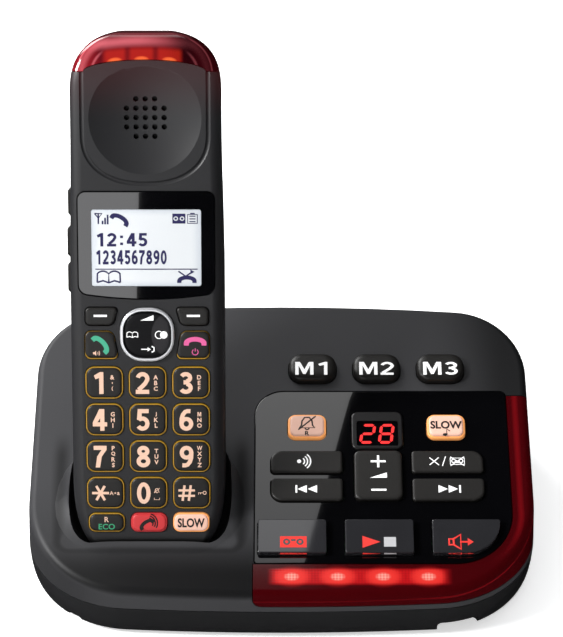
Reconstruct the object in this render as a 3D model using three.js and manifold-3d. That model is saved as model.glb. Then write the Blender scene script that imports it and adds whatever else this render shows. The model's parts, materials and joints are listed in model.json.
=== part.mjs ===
// Cordless telephone: a handset with large keys, standing in an answering-machine base.
// Millimetres, +Z up, the front of the base towards -Y.
import * as THREE from 'three';
import { mergeVertices } from 'three/addons/utils/BufferGeometryUtils.js';
import Module from 'manifold-3d';

const wasm = await Module();
wasm.setup();

// Clearances
const gap = 0.3; // between two pieces that meet
const overrun = 6; // how far a cutting tool passes the face that it cuts

// Base. Its deck is the sloping top: x runs across, t up the slope from the front edge, n out of it.
const base = {
  wall: 2.5, sideRim: 8.6, deckBehindKeys: 29.5,
  frontCorner: 36, backCorner: 26, frontBow: 900, backBow: 900,
  footRise: 1.2, bottomTaper: 2, seam: 13.4, draft: 0.8, edge: 2.6,
  deckSetback: 3, deckSlope: 15.4,
};
const foot = { radius: 6, sideMargin: 23.4, frontMargin: 22.3, backMargin: 20.3, sink: 0.5 };
const screwPost = { radius: 3.4, sideMargin: 29.4, frontMargin: 14.3, backMargin: 14.3 };
const notch = { width: 15, height: 2.8, reach: 7, rightMargin: 28.4, leftMargin: 17.4, wall: 1.2 };
const panel = {
  width: 88, front: 10.2, behindDisplay: 8.7, thickness: 1.2, ledge: 3,
  backLeftCorner: 10, backRightCorner: 2, frontRightCorner: 20, frontLeftCorner: 1,
};
const lightLens = { sideLap: 0.4, backMargin: 1.9, aboveSeam: 2.2, corner: 2.8 };
const deckKeyDepth = 3.4;
const memoryKey = {
  height: 11.4, corner: 4.6, rise: 3.2, edge: 1.6, space: 5.9, sideMargins: 26.1, behindPanel: 9, shift: 0.2
};
const tintedKey = {
  width: 13.3, height: 9.8, corner: 2.8, rise: 1.8, edge: 0.8, aboveDisplay: 1.4, shift: 0.2
};
const wideKey = {
  height: 8.9, corner: 1.3, outerCorner: 4, rise: 1.2, edge: 0.6,
  leftMargin: 5.5, rightMargin: 9, leftSpace: 4, rightSpace: 3.3, rowSpace: 2.2, aboveLarge: 7.95,
};
const volumeKey = { width: 16.6, height: 19.8, corner: 2.4, rise: 1.5, edge: 0.7, shift: 0.15 };
const largeKey = {
  height: 13, corner: 0.9, sweptCorner: 12, rise: 2.1, edge: 0.5,
  leftMargin: 1.15, rightMargin: 4.35, space: 6.3, frontMargin: 3.1,
};
const messageDisplay = {
  width: 18, height: 15.6, corner: 2.6, rise: 0.8, edge: 0.6, space: 0.7, depth: 4.1,
  windowWidth: 14.6, windowHeight: 10.2, windowDepth: 0.9, windowCorner: 0.8,
};
const mainBoard = {
  leftLap: 5, rightMargin: 3.8, frontMargin: 2.8, backLap: 16.7, thickness: 1.6, corner: 2
};
const boardPost = { radius: 1.7, leftInset: 2.6, rightInset: 7, frontInset: 11, backInset: 6 };
const speaker = { radius: 20, rimHeight: 3, magnetRadius: 11, magnetHeight: 12, y: 2 };
const speakerSlot = { width: 2, length: 26, pitch: 5, count: 5 };
const socketCentre = 24;
const powerJack = {
  width: 9, height: 11, depth: 14, bore: 3.1, boreDepth: 9.5, pin: 1, pinLength: 8, x: 8,
};
const lineJack = {
  width: 13.4, height: 11.6, depth: 15, mouthWidth: 9.8, mouthHeight: 6.8, mouthDepth: 11.5, x: 26,
};

// Cradle: the pocket that follows the handset, and the collar that stands round its mouth
const cradle = {
  clearance: 1, scoop: 1.5, scoopEnd: 37, wall: 2, sideMargin: 42.5, toPanel: 35.7,
  front: 19, back: 58, halfWidth: 27, frontCorner: 14, backCorner: 24,
  frontRise: 1.6, backRise: 5, lipWidth: 1.2, footWidth: 4.4, sink: 1.2,
};
const backrest = { halfWidth: 19, front: 50, back: 66, corner: 7, rise: 9, taper: 2.2 };
const chargePin = { radius: 1.2, length: 9, aboveFloor: 1.22 };

// Handset. u runs across it, v up from its foot, w out of the keypad face.
const handset = {
  gripWidth: 51.4, headWidth: 49.8, gripDepth: 28, headDepth: 19.5, aboveDish: 27.7,
  gripPastWindow: 3.1, neckPastWindow: 19.1, headBelowDish: 1.9, footRound: 31, crownRound: 21,
  footDrop: 5, footDropLength: 7, footLift: 13, crownDrop: 6.5, crownDropLength: 16, crownLift: 5.5,
  frontEdge: 4, backEdge: 9, wall: 2, seam: 15, lean: 29, t: 13.9, sunk: 6.6,
};
const roundPower = 2.75;
const bluntShare = 0.975;
const keyDepth = 3.3;
const footKey = { width: 12.2, height: 6.5, corner: 2.4, rise: 1, edge: 0.6, space: 2.1, v: 14.6 };
const digitKey = {
  width: 12.55, height: 10.9, corner: 3, rise: 0.8, edge: 0.6, columnSpace: 2, rowSpace: 1.8,
  aboveFoot: 1.65,
};
const callKey = {
  outer: 20.8, innerTop: 11.4, innerBottom: 9.6, height: 9.5, corner: 2, rise: 0.8, edge: 0.6, space: 2.6
};
const softKey = {
  outer: 20.6, innerTop: 9.6, innerBottom: 11.3, height: 6.1, corner: 1.6, rise: 0.8, edge: 0.6, space: 2
};
const navRing = {
  size: 18.2, corner: 6.6, width: 1.2, rise: 1.1, aboveCallFoot: 8.4, depth: 2.6, edge: 0.4
};
const navKey = { rise: 0.9, edge: 0.7 };
const displayWindow = {
  halfWidth: 22.7, height: 34.7, bow: 1.4, topCorner: 2.6, bottomCorner: 3.4, thickness: 1.2, space: 4.2,
};
const lcd = { sideMargin: 4.4, bottomMargin: 2.9, topMargin: 5.9, corner: 0.8, thickness: 3.2 };
const earDish = {
  aboveWindow: 24.3, radius: 18.7, depth: 3, wall: 2, bossRadius: 20.6, hole: 0.92, holePitch: 3.1,
  holesAcross: 5,
};
const earPad = {
  sideMargin: 3.7, aboveWindow: 2.2, bend: 17, bendPower: 2.3, groove: 0.9, grooveDepth: 0.5
};
const receiver = { radius: 11, rimRadius: 8.6, thickness: 4.4, rimHeight: 1.2 };
const alertLens = { legDrop: 12, middleDrop: 8.4, legInner: 14.6, wrap: 11 };
const sideKey = {
  length: 9.5, height: 5, corner: 1.6, proud: 1.2, edge: 0.8, inside: 1.2, belowWindow: 4.7, w: -10
};
const sideRocker = { length: 22.6, bump: 10.4, aboveWindowFoot: 10.5, sill: 0.3 };
const keyTravel = 0.5;
const keypadMat = { halfWidth: 22.6, bottom: 9.6, belowWindow: 2.9, thickness: 0.9, corner: 4 };
const handsetBoard = { bottom: 7, pastWindow: 0.4, thickness: 1.6, halfWidth: 26 };
const batteryCover = {
  halfWidth: 17, bottom: 55, height: 56, corner: 4, lap: 2, ledge: 1.2, gripDepth: 0.7, gripLength: 14,
};
const batteryTray = { halfWidth: 11, margin: 5.5, wall: 1 };
const battery = { radius: 5.1, length: 44.5, nub: 1.9, nubLength: 1.1 };
const contact = { size: 4, corner: 0.8, depth: 3, u: 5.6, w: -9.6 };

// Places up the handset, each row above the one before it
digitKey.pitchU = digitKey.width + digitKey.columnSpace;
digitKey.pitchV = digitKey.height + digitKey.rowSpace;
digitKey.v = footKey.v + (footKey.height + digitKey.height) / 2 + digitKey.aboveFoot;
footKey.pitchU = footKey.width + footKey.space;
callKey.bottom = digitKey.v + 3 * digitKey.pitchV + digitKey.height / 2 + callKey.space;
callKey.top = callKey.bottom + callKey.height;
navRing.v = callKey.bottom + navRing.aboveCallFoot;
softKey.bottom = callKey.top + softKey.space;
softKey.top = softKey.bottom + softKey.height;
displayWindow.bottom = softKey.top + displayWindow.space;
displayWindow.top = displayWindow.bottom + displayWindow.height;
lcd.halfWidth = displayWindow.halfWidth - lcd.sideMargin;
lcd.bottom = displayWindow.bottom + lcd.bottomMargin;
lcd.top = displayWindow.top - lcd.topMargin;
earDish.v = displayWindow.top + earDish.aboveWindow;
earPad.halfWidth = handset.headWidth / 2 - earPad.sideMargin;
earPad.bottom = displayWindow.top + earPad.aboveWindow;
handset.length = earDish.v + handset.aboveDish;
handset.gripEnd = displayWindow.bottom + handset.gripPastWindow;
handset.neckStart = displayWindow.bottom + handset.neckPastWindow;
handset.headStart = earDish.v - handset.headBelowDish;
alertLens.legV = handset.length - alertLens.legDrop;
alertLens.middleV = handset.length - alertLens.middleDrop;
sideKey.v = displayWindow.top - sideKey.belowWindow;
sideRocker.v = displayWindow.bottom + sideRocker.aboveWindowFoot;
keypadMat.top = displayWindow.bottom - keypadMat.belowWindow;
handsetBoard.top = displayWindow.top + handsetBoard.pastWindow;
batteryCover.top = batteryCover.bottom + batteryCover.height;
batteryTray.bottom = batteryCover.bottom + batteryTray.margin;

// Places across the base, from its left side to its right
base.width = cradle.sideMargin + cradle.toPanel + panel.width + base.sideRim;
handset.x = cradle.sideMargin - base.width / 2;
panel.left = handset.x + cradle.toPanel;
panel.right = panel.left + panel.width;
wideKey.width = (panel.width - wideKey.leftMargin - wideKey.leftSpace - volumeKey.width -
  wideKey.rightSpace - wideKey.rightMargin) / 2;
wideKey.leftX = panel.left + wideKey.leftMargin + wideKey.width / 2;
wideKey.rightX = panel.right - wideKey.rightMargin - wideKey.width / 2;
volumeKey.x = wideKey.leftX + wideKey.width / 2 + wideKey.leftSpace + volumeKey.width / 2;
messageDisplay.x = volumeKey.x;
tintedKey.leftX = wideKey.leftX + tintedKey.shift;
tintedKey.rightX = wideKey.rightX;
memoryKey.width = (panel.width - memoryKey.sideMargins - 2 * memoryKey.space) / 3;
memoryKey.pitch = memoryKey.width + memoryKey.space;
memoryKey.x = volumeKey.x + memoryKey.shift;
largeKey.width = (panel.width - largeKey.leftMargin - largeKey.rightMargin - 2 * largeKey.space) / 3;
largeKey.pitch = largeKey.width + largeKey.space;
largeKey.x = panel.left + largeKey.leftMargin + largeKey.width / 2 + largeKey.pitch;
lightLens.left = panel.left - lightLens.sideLap;
speaker.x = volumeKey.x;

// Places up the deck, from its front edge to its back
largeKey.t = panel.front + largeKey.frontMargin + largeKey.height / 2;
wideKey.pitch = wideKey.height + wideKey.rowSpace;
wideKey.t = largeKey.t + (largeKey.height + wideKey.height) / 2 + wideKey.aboveLarge;
volumeKey.t = wideKey.t + wideKey.pitch / 2 + volumeKey.shift;
messageDisplay.t = volumeKey.t + (volumeKey.height + messageDisplay.height) / 2 + messageDisplay.space;
tintedKey.t = messageDisplay.t + tintedKey.aboveDisplay;
panel.back = messageDisplay.t + messageDisplay.height / 2 + panel.behindDisplay;
memoryKey.t = panel.back + memoryKey.behindPanel;
lightLens.back = panel.back - lightLens.backMargin;
lightLens.bottom = base.seam + lightLens.aboveSeam;
mainBoard.left = panel.left - mainBoard.leftLap;
mainBoard.right = panel.right - mainBoard.rightMargin;
mainBoard.front = panel.front + mainBoard.frontMargin;
mainBoard.back = panel.back + mainBoard.backLap;

// How finely the curves are stepped
const steps = {
  keyCorner: 2, sweptCorner: 4, bodyCorner: 3, foot: 6, grip: 7, crown: 7, dish: 4, dishSides: 26,
  padBend: 10,
  frontBow: 4, frontCorner: 7, backCorner: 5, backBow: 3, collarCorner: 5, panelCorner: 5, arch: 6,
};

const degrees = THREE.MathUtils.degToRad;
const { lerp, clamp, smoothstep } = THREE.MathUtils;
const slope = degrees(base.deckSlope);
base.depth = base.deckSetback + (memoryKey.t + base.deckBehindKeys) * Math.cos(slope);
const frontY = -base.depth / 2;
const backY = base.depth / 2;

// The deck is high enough for the charge pins under the handset's foot
const lean = degrees(handset.lean);
const footDrop = handset.sunk * Math.cos(slope) - handset.t * Math.sin(slope);
const pinDrop = chargePin.length * Math.cos(lean) + (chargePin.radius - contact.w) * Math.sin(lean);
base.deckHeight = base.footRise + base.wall + chargePin.aboveFloor + footDrop + pinDrop;

// Finishes
const finish = (color, roughness, metalness = 0, opacity = 1) =>
  new THREE.MeshStandardMaterial({ color, roughness, metalness, opacity, transparent: opacity < 1 });
const materials = {
  housing: finish(0x2e2e30, 0.55),
  gloss: finish(0x0b0b0c, 0.12),
  redLens: finish(0x6a0a12, 0.15, 0, 0.8),
  key: finish(0x1d1d1f, 0.4),
  tinted: finish(0xe9b08c, 0.45),
  redKey: finish(0xd8262c, 0.4),
  chrome: finish(0xc8c8cc, 0.15, 1),
  display: finish(0xe6eaf0, 0.3),
  board: finish(0x1f5a35, 0.6),
  silicone: finish(0x303034, 0.8),
  metal: finish(0xb8b09a, 0.3, 1),
  cell: finish(0x2f6fb0, 0.4),
  socket: finish(0x151517, 0.5),
};

// Placing frames
const phone = new THREE.Group();
const deck = new THREE.Group();
deck.position.set(0, frontY + base.deckSetback, base.deckHeight);
deck.rotation.x = slope;
deck.updateMatrix();
const unit = new THREE.Group();
unit.position.set(handset.x, handset.t, -handset.sunk);
unit.rotation.x = degrees(90 - handset.lean) - slope;
unit.updateMatrix();
phone.add(deck);
deck.add(unit);

const fromDeck = (geometry) => geometry.applyMatrix4(deck.matrix);
const fromUnit = (geometry) => fromDeck(geometry.applyMatrix4(unit.matrix));

// A closed solid for joins and cuts
function solid(geometry) {
  const bare = geometry.clone();
  bare.deleteAttribute('normal');
  bare.deleteAttribute('uv');
  const merged = mergeVertices(bare);
  const vertProperties = new Float32Array(merged.attributes.position.array);
  const triVerts = new Uint32Array(merged.index.array);
  return new wasm.Manifold(new wasm.Mesh({ numProp: 3, vertProperties, triVerts }));
}

function geometryOf(body) {
  const mesh = body.getMesh();
  const geometry = new THREE.BufferGeometry();
  geometry.setAttribute('position', new THREE.BufferAttribute(new Float32Array(mesh.vertProperties), 3));
  geometry.setIndex(new THREE.BufferAttribute(new Uint32Array(mesh.triVerts), 1));
  geometry.computeVertexNormals();
  return geometry;
}

function place(parent, name, geometry, material, x = 0, y = 0, z = 0) {
  const mesh = new THREE.Mesh(geometry, material);
  mesh.name = name;
  mesh.position.set(x, y, z);
  parent.add(mesh);
  return mesh;
}

// Skin over a stack of rings that all have the same number of points, closed at both ends
function loft(rings, flatten) {
  const count = rings[0].length;
  const points = rings.flat();
  const triangles = [];
  for (let ring = 0; ring + 1 < rings.length; ring++) {
    for (let i = 0; i < count; i++) {
      const a = ring * count + i;
      const b = ring * count + ((i + 1) % count);
      triangles.push([a, b, b + count], [a, b + count, a + count]);
    }
  }
  const cap = (ring, outward) => {
    const outline = rings[ring].map(flatten);
    const turn = Math.sign(THREE.ShapeUtils.area(outline)) * outward;
    for (const [a, b, c] of THREE.ShapeUtils.triangulateShape(outline, [])) {
      const same = Math.sign(THREE.ShapeUtils.area([outline[a], outline[b], outline[c]])) === turn;
      const face = same ? [a, b, c] : [c, b, a];
      triangles.push(face.map((i) => i + ring * count));
    }
  };
  cap(0, -1);
  cap(rings.length - 1, 1);
  const volume = triangles.reduce((sum, [a, b, c]) => {
    const across = new THREE.Vector3().crossVectors(points[b], points[c]);
    return sum + points[a].dot(across);
  }, 0);
  const index = triangles.flatMap((face) => (volume > 0 ? face : [...face].reverse()));
  const geometry = new THREE.BufferGeometry();
  geometry.setAttribute('position',
    new THREE.Float32BufferAttribute(points.flatMap((p) => p.toArray()), 3));
  geometry.setIndex(index);
  geometry.computeVertexNormals();
  return geometry;
}

// Outline with rounded corners, its edges moved out by grow. The corners run counterclockwise.
function roundedOutline(corners, radii, grow = 0, turns = steps.keyCorner) {
  const count = corners.length;
  const points = [];
  corners.forEach((corner, i) => {
    const into = corner.clone().sub(corners[(i + count - 1) % count]).normalize();
    const out = corners[(i + 1) % count].clone().sub(corner).normalize();
    const bend = Math.atan2(into.cross(out), into.dot(out));
    const radius = Math.max((Array.isArray(radii) ? radii[i] : radii) + grow, gap / 2);
    const outward = new THREE.Vector2(into.y + out.y, -into.x - out.x).normalize();
    const moved = corner.clone().addScaledVector(outward, grow / Math.cos(bend / 2));
    const centre = moved.clone().addScaledVector(outward, -radius / Math.cos(bend / 2));
    const start = Math.atan2(-into.x, into.y);
    for (let turn = 0; turn <= turns; turn++) {
      const angle = start + (bend * turn) / turns;
      const [across, up] = [radius * Math.cos(angle), radius * Math.sin(angle)];
      points.push(new THREE.Vector2(centre.x + across, centre.y + up));
    }
  });
  return points;
}

const rectangle = (width, height) => [
  new THREE.Vector2(-width / 2, -height / 2),
  new THREE.Vector2(width / 2, -height / 2),
  new THREE.Vector2(width / 2, height / 2),
  new THREE.Vector2(-width / 2, height / 2),
];

const quad = (...corners) => corners.map(([x, y]) => new THREE.Vector2(x, y));

const withoutRepeats = (outline) =>
  outline.filter((p, i) => p.distanceTo(outline[(i + 1) % outline.length]) > gap / 10);

const atLevel = (outline, level) => outline.map((p) => new THREE.Vector3(p.x, p.y, level));

const flatXY = (p) => new THREE.Vector2(p.x, p.y);
const flatXZ = (p) => new THREE.Vector2(p.x, p.z);

// Straight solid on an outline, between two levels
const prism = (outline, from, to) => loft([atLevel(outline, from), atLevel(outline, to)], flatXY);

// Round solid on the Z axis, from a profile of [radius, level] pairs that starts and ends on the axis
function turned(profile, sides) {
  const points = profile.map(([radius, level]) => new THREE.Vector2(radius, level));
  if (points.at(-1).y < points[0].y) points.reverse();
  return new THREE.LatheGeometry(points, sides).rotateX(Math.PI / 2);
}

const post = (radius, from, to, sides = 12) =>
  turned([[0, from], [radius, from], [radius, to], [0, to]], sides);

// Key cap: straight sides below the face, a rounded edge and a flat top above it
function keyCap(outlineAt, depth, rise, edge) {
  const turns = [0, 45, 90].map(degrees);
  const rings = turns.map((turn) =>
    atLevel(outlineAt(-edge * (1 - Math.cos(turn))), rise - edge * (1 - Math.sin(turn))));
  return loft([atLevel(outlineAt(0), -depth), ...rings], flatXY);
}

// Body of the handset
function handsetHalfWidth(v) {
  const width = lerp(handset.gripWidth, handset.headWidth,
    smoothstep(v, handset.gripEnd, handset.headStart));
  const footward = bluntShare * Math.max(0, 1 - v / handset.footRound);
  const crownward = bluntShare * Math.max(0, 1 - (handset.length - v) / handset.crownRound);
  const round = (share) => (1 - share ** roundPower) ** (1 / roundPower);
  return (width / 2) * round(footward) * round(crownward);
}

const fallAway = (share) => 1 - Math.sqrt(1 - (bluntShare * Math.max(0, share)) ** 2);

const handsetFace = (v) =>
  -handset.footDrop * fallAway(1 - v / handset.footDropLength) -
  handset.crownDrop * fallAway(1 - (handset.length - v) / handset.crownDropLength);

const handsetBack = (v) =>
  -lerp(handset.gripDepth, handset.headDepth, smoothstep(v, handset.neckStart, handset.headStart)) +
  handset.footLift * fallAway(1 - v / handset.footRound) +
  handset.crownLift * fallAway(1 - (handset.length - v) / handset.crownRound);

function handsetStations() {
  const quarter = (step, count) => 1 - Math.sin((Math.PI / 2) * (1 - step / count));
  const crownStart = handset.length - handset.crownRound;
  const stations = [];
  for (let i = 0; i < steps.foot; i++) stations.push(handset.footRound * quarter(i, steps.foot));
  for (let i = 0; i < steps.grip; i++) stations.push(lerp(handset.footRound, crownStart, i / steps.grip));
  for (let i = steps.crown; i >= 0; i--) {
    stations.push(handset.length - handset.crownRound * quarter(i, steps.crown));
  }
  return stations;
}

// The handset's outer form moved in by inset, which may vary along it
function handsetForm(insetAt) {
  const rings = handsetStations().map((v) => {
    const inset = insetAt(v);
    const half = handsetHalfWidth(v) - inset;
    const face = handsetFace(v) - inset;
    const back = handsetBack(v) + inset;
    const most = Math.min(half, (face - back) / 2) * bluntShare;
    const front = Math.min(handset.frontEdge - inset, most);
    const rear = Math.min(handset.backEdge - inset, most);
    const along = lerp(inset, handset.length - inset, v / handset.length);
    const corners = quad([-half, back], [half, back], [half, face], [-half, face]);
    return roundedOutline(corners, [rear, rear, front, front], 0, steps.bodyCorner)
      .map((p) => new THREE.Vector3(p.x, along, p.y));
  });
  return loft(rings, flatXZ);
}

const handsetOuter = solid(handsetForm(() => 0));
const handsetInner = solid(handsetForm(() => handset.wall));
const handsetSkin = handsetOuter.subtract(handsetInner);

// Slab of the handset's frame between two levels of w
const slab = (from, to) =>
  solid(prism(roundedOutline(rectangle(handset.gripWidth + overrun, handset.length * 3), gap), from, to));

const alongV = (outline, v) => outline.map((p) => new THREE.Vector2(p.x, p.y + v));

// Keys of the handset's face: name, outline, place, rise and finish
const mirrored = (corners) => corners.map((p) => new THREE.Vector2(-p.x, p.y)).reverse();
const softCorners = quad(
  [-softKey.outer, softKey.bottom], [-softKey.innerBottom, softKey.bottom],
  [-softKey.innerTop, softKey.top], [-softKey.outer, softKey.top]);
const callCorners = quad(
  [-callKey.outer, callKey.bottom], [-callKey.innerBottom, callKey.bottom],
  [-callKey.innerTop, callKey.top], [-callKey.outer, callKey.top]);
const navKeySize = navRing.size - 2 * (navRing.width + gap);
const faceKeys = [
  { name: 'soft_key_left', corners: softCorners, sizes: softKey, material: materials.key },
  { name: 'soft_key_right', corners: mirrored(softCorners), sizes: softKey, material: materials.key },
  { name: 'talk_key', corners: callCorners, sizes: callKey, material: materials.key },
  { name: 'off_key', corners: mirrored(callCorners), sizes: callKey, material: materials.key },
  {
    name: 'nav_key', corners: rectangle(navKeySize, navKeySize), v: navRing.v, material: materials.key,
    sizes: { corner: navRing.corner - navRing.width - gap, ...navKey },
  },
];
const digitNames = [['star', '0', 'hash'], ['7', '8', '9'], ['4', '5', '6'], ['1', '2', '3']];
digitNames.forEach((row, rowIndex) => row.forEach((digit, column) => faceKeys.push({
  name: `key_${digit}`, corners: rectangle(digitKey.width, digitKey.height), sizes: digitKey,
  u: (column - 1) * digitKey.pitchU, v: digitKey.v + rowIndex * digitKey.pitchV, material: materials.key,
})));
const footFinishes = { eco_key: materials.key, boost_key: materials.redKey, slow_key: materials.tinted };
Object.entries(footFinishes).forEach(([name, material], column) => faceKeys.push({
  name, corners: rectangle(footKey.width, footKey.height), sizes: footKey,
  u: (column - 1) * footKey.pitchU, v: footKey.v, material,
}));

for (const key of faceKeys) {
  const { corner, rise, edge } = key.sizes;
  const outlineAt = (grow) => roundedOutline(key.corners, corner, grow);
  place(unit, key.name, keyCap(outlineAt, keyDepth, rise, edge), key.material, key.u ?? 0, key.v ?? 0, 0);
}

const keyOpening = (key) =>
  prism(roundedOutline(key.corners, key.sizes.corner, gap), -handset.wall - overrun, overrun)
    .translate(key.u ?? 0, key.v ?? 0, 0);

const navOutline = (grow) => alongV(
  roundedOutline(rectangle(navRing.size, navRing.size), navRing.corner, grow, steps.collarCorner),
    navRing.v);

function makeNavRing() {
  const outer = loft([
    atLevel(navOutline(0), -navRing.depth),
    atLevel(navOutline(0), navRing.rise - navRing.edge),
    atLevel(navOutline(-navRing.edge), navRing.rise),
  ], flatXY);
  const inner = prism(navOutline(-navRing.width), -navRing.depth - overrun, overrun);
  return geometryOf(solid(outer).subtract(solid(inner)));
}

// Hearing dish, its boss inside the shell and the sound holes through both
function dishProfile(offset) {
  const { radius, depth } = earDish;
  const profile = [];
  for (let i = 0; i <= steps.dish; i++) {
    const turn = (Math.PI / 2) * (i / steps.dish);
    profile.push([(radius + offset) * Math.sin(turn), -depth * Math.cos(turn) ** 2 - offset]);
  }
  return profile;
}

function soundHoles() {
  const half = (earDish.holesAcross - 1) / 2;
  const holes = [];
  for (let row = -half; row <= half; row++) {
    for (let column = -half; column <= half; column++) {
      if (Math.abs(row) === half && Math.abs(column) === half) continue;
      const hole = post(earDish.hole, -earDish.depth - earDish.wall - overrun, overrun, 6);
      const [across, up] = [column * earDish.holePitch, row * earDish.holePitch];
      holes.push(solid(hole.translate(across, earDish.v + up, 0)));
    }
  }
  return holes.reduce((all, hole) => all.add(hole));
}

function earDishCut() {
  const profile = [...dishProfile(0), [earDish.radius, overrun], [0, overrun]];
  return solid(turned(profile, steps.dishSides).translate(0, earDish.v, 0));
}

function earDishBoss() {
  const start = -handset.wall / 2;
  const under = dishProfile(earDish.wall).filter(([, level]) => level < start);
  const profile = [...under, [earDish.bossRadius, start], [0, start]];
  return solid(turned(profile, steps.dishSides).translate(0, earDish.v, 0));
}

// Groove that sets off the pad round the dish. It runs up both sides to the light window.
function earPadOutline(grow, top) {
  const half = earPad.halfWidth + grow;
  const bend = earPad.bend + grow;
  const level = earPad.bottom + earPad.bend;
  const outline = quad([half, top], [-half, top]);
  for (let i = 0; i <= steps.padBend; i++) {
    const turn = Math.PI * (1 - i / steps.padBend);
    const across = Math.sign(Math.cos(turn)) * Math.abs(Math.cos(turn)) ** (2 / earPad.bendPower);
    const down = Math.abs(Math.sin(turn)) ** (2 / earPad.bendPower);
    outline.push(new THREE.Vector2(half * across, level - bend * down));
  }
  return withoutRepeats(outline);
}

function earPadGroove() {
  const outer = prism(earPadOutline(0, handset.length), -earPad.grooveDepth, overrun);
  const inner = prism(earPadOutline(-earPad.groove, handset.length + overrun), -handset.wall,
    2 * overrun);
  return solid(outer).subtract(solid(inner));
}

// Light window over the crown: legs down both shoulders, a shallow arch over the dish
function alertRegion(grow) {
  const side = handset.gripWidth;
  const shape = new THREE.Shape();
  shape.moveTo(side, alertLens.legV - grow);
  shape.lineTo(side, handset.length + overrun);
  shape.lineTo(-side, handset.length + overrun);
  shape.lineTo(-side, alertLens.legV - grow);
  shape.lineTo(-alertLens.legInner, alertLens.legV - grow);
  const control = 2 * alertLens.middleV - alertLens.legV - grow;
  shape.quadraticCurveTo(0, control, alertLens.legInner, alertLens.legV - grow);
  return solid(prism(shape.getPoints(steps.arch).slice(0, -1), -alertLens.wrap - grow, overrun));
}

function windowOutline(grow) {
  const { halfWidth, bottom, top, bow, topCorner, bottomCorner } = displayWindow;
  const side = halfWidth + grow;
  const low = bottom - grow;
  const high = top + grow;
  const rt = topCorner + grow;
  const rb = bottomCorner + grow;
  const shape = new THREE.Shape();
  shape.moveTo(-side + rb, low);
  shape.quadraticCurveTo(0, low - 2 * bow, side - rb, low);
  shape.absarc(side - rb, low + rb, rb, -Math.PI / 2, 0);
  shape.absarc(side - rt, high - rt, rt, 0, Math.PI / 2);
  shape.absarc(-side + rt, high - rt, rt, Math.PI / 2, Math.PI);
  shape.absarc(-side + rb, low + rb, rb, Math.PI, Math.PI * 1.5);
  return withoutRepeats(shape.getPoints(steps.bodyCorner));
}

const lcdOutline = (grow) => alongV(
  roundedOutline(rectangle(2 * lcd.halfWidth, lcd.top - lcd.bottom), lcd.corner, grow, 1),
  (lcd.top + lcd.bottom) / 2);

// Keys in the left flank: outline in the (v, w) plane, pressed towards +u
function flankSolid(length, grow, from, to, v, edge = 0) {
  const outlineAt = (more) => roundedOutline(rectangle(length, sideKey.height), sideKey.corner,
    grow + more);
  const rings = [atLevel(outlineAt(0), from), atLevel(outlineAt(0), to - edge)];
  if (edge > 0) rings.push(atLevel(outlineAt(-edge), to));
  return loft(rings, flatXY).rotateZ(Math.PI / 2).rotateY(-Math.PI / 2).translate(0, v, sideKey.w);
}

const flank = handsetHalfWidth(sideRocker.v);
const flankInside = flank - handset.wall - sideKey.inside;
const upperFlank = handsetHalfWidth(sideKey.v);

function makeSideKey() {
  return flankSolid(sideKey.length, 0, flankInside, upperFlank + sideKey.proud, sideKey.v, sideKey.edge);
}

function makeSideRocker() {
  const bar = flankSolid(sideRocker.length, 0, flankInside, flank + sideRocker.sill, sideRocker.v);
  const reach = (sideRocker.length - sideRocker.bump) / 2;
  const bumps = [-reach, reach].map((shift) =>
    solid(flankSolid(sideRocker.bump, 0, flank - sideRocker.sill, flank + sideKey.proud,
      sideRocker.v + shift, sideKey.edge)));
  return geometryOf(bumps.reduce((all, bump) => all.add(bump), solid(bar)));
}

const contactOutline = (grow) =>
  roundedOutline(rectangle(contact.size, contact.size), contact.corner, grow, 1);
const contactBlock = (grow, from, to, side) =>
  prism(contactOutline(grow), -to, -from).rotateX(Math.PI / 2).translate(side * contact.u, 0, contact.w);

function makeFrontShell() {
  let shell = handsetSkin.intersect(slab(-handset.seam, overrun));
  shell = shell.add(earDishBoss()).subtract(earDishCut()).subtract(soundHoles()).subtract(earPadGroove());
  shell = shell.subtract(alertRegion(gap));
  shell = shell.subtract(solid(prism(windowOutline(gap), -displayWindow.thickness - gap, overrun)));
  shell = shell.subtract(solid(prism(lcdOutline(gap), -handset.wall - overrun, overrun)));
  for (const key of faceKeys) shell = shell.subtract(solid(keyOpening(key)));
  shell = shell.subtract(solid(prism(navOutline(gap), -handset.wall - overrun, overrun)));
  const flankCuts = [
    flankSolid(sideKey.length, gap, flankInside - overrun, flank + overrun, sideKey.v),
    flankSolid(sideRocker.length, gap, flankInside - overrun, flank + overrun, sideRocker.v),
  ];
  for (const cut of flankCuts) shell = shell.subtract(solid(cut));
  for (const side of [-1, 1]) shell = shell.subtract(solid(contactBlock(gap, -overrun, overrun, side)));
  return geometryOf(shell);
}

// Battery cover in the back, the ledge that it lies on and the tray behind it
const coverOutline = (grow) => alongV(
  roundedOutline(rectangle(2 * batteryCover.halfWidth, batteryCover.top - batteryCover.bottom),
    batteryCover.corner, grow),
  (batteryCover.top + batteryCover.bottom) / 2);
const coverRegion = (grow) =>
  solid(prism(coverOutline(grow), -handset.gripDepth - overrun, -handset.seam - 2 * gap));
const trayTop = batteryTray.bottom + battery.length + battery.nubLength + 2 * gap;
const batteryDepth = handset.gripDepth - handset.wall - gap - batteryCover.ledge - battery.radius;

function trayBox(grow, from, to) {
  const corners = quad(
    [-batteryTray.halfWidth, batteryTray.bottom], [batteryTray.halfWidth, batteryTray.bottom],
    [batteryTray.halfWidth, trayTop], [-batteryTray.halfWidth, trayTop]);
  return solid(prism(roundedOutline(corners, gap, grow, 1), from, to));
}

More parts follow.
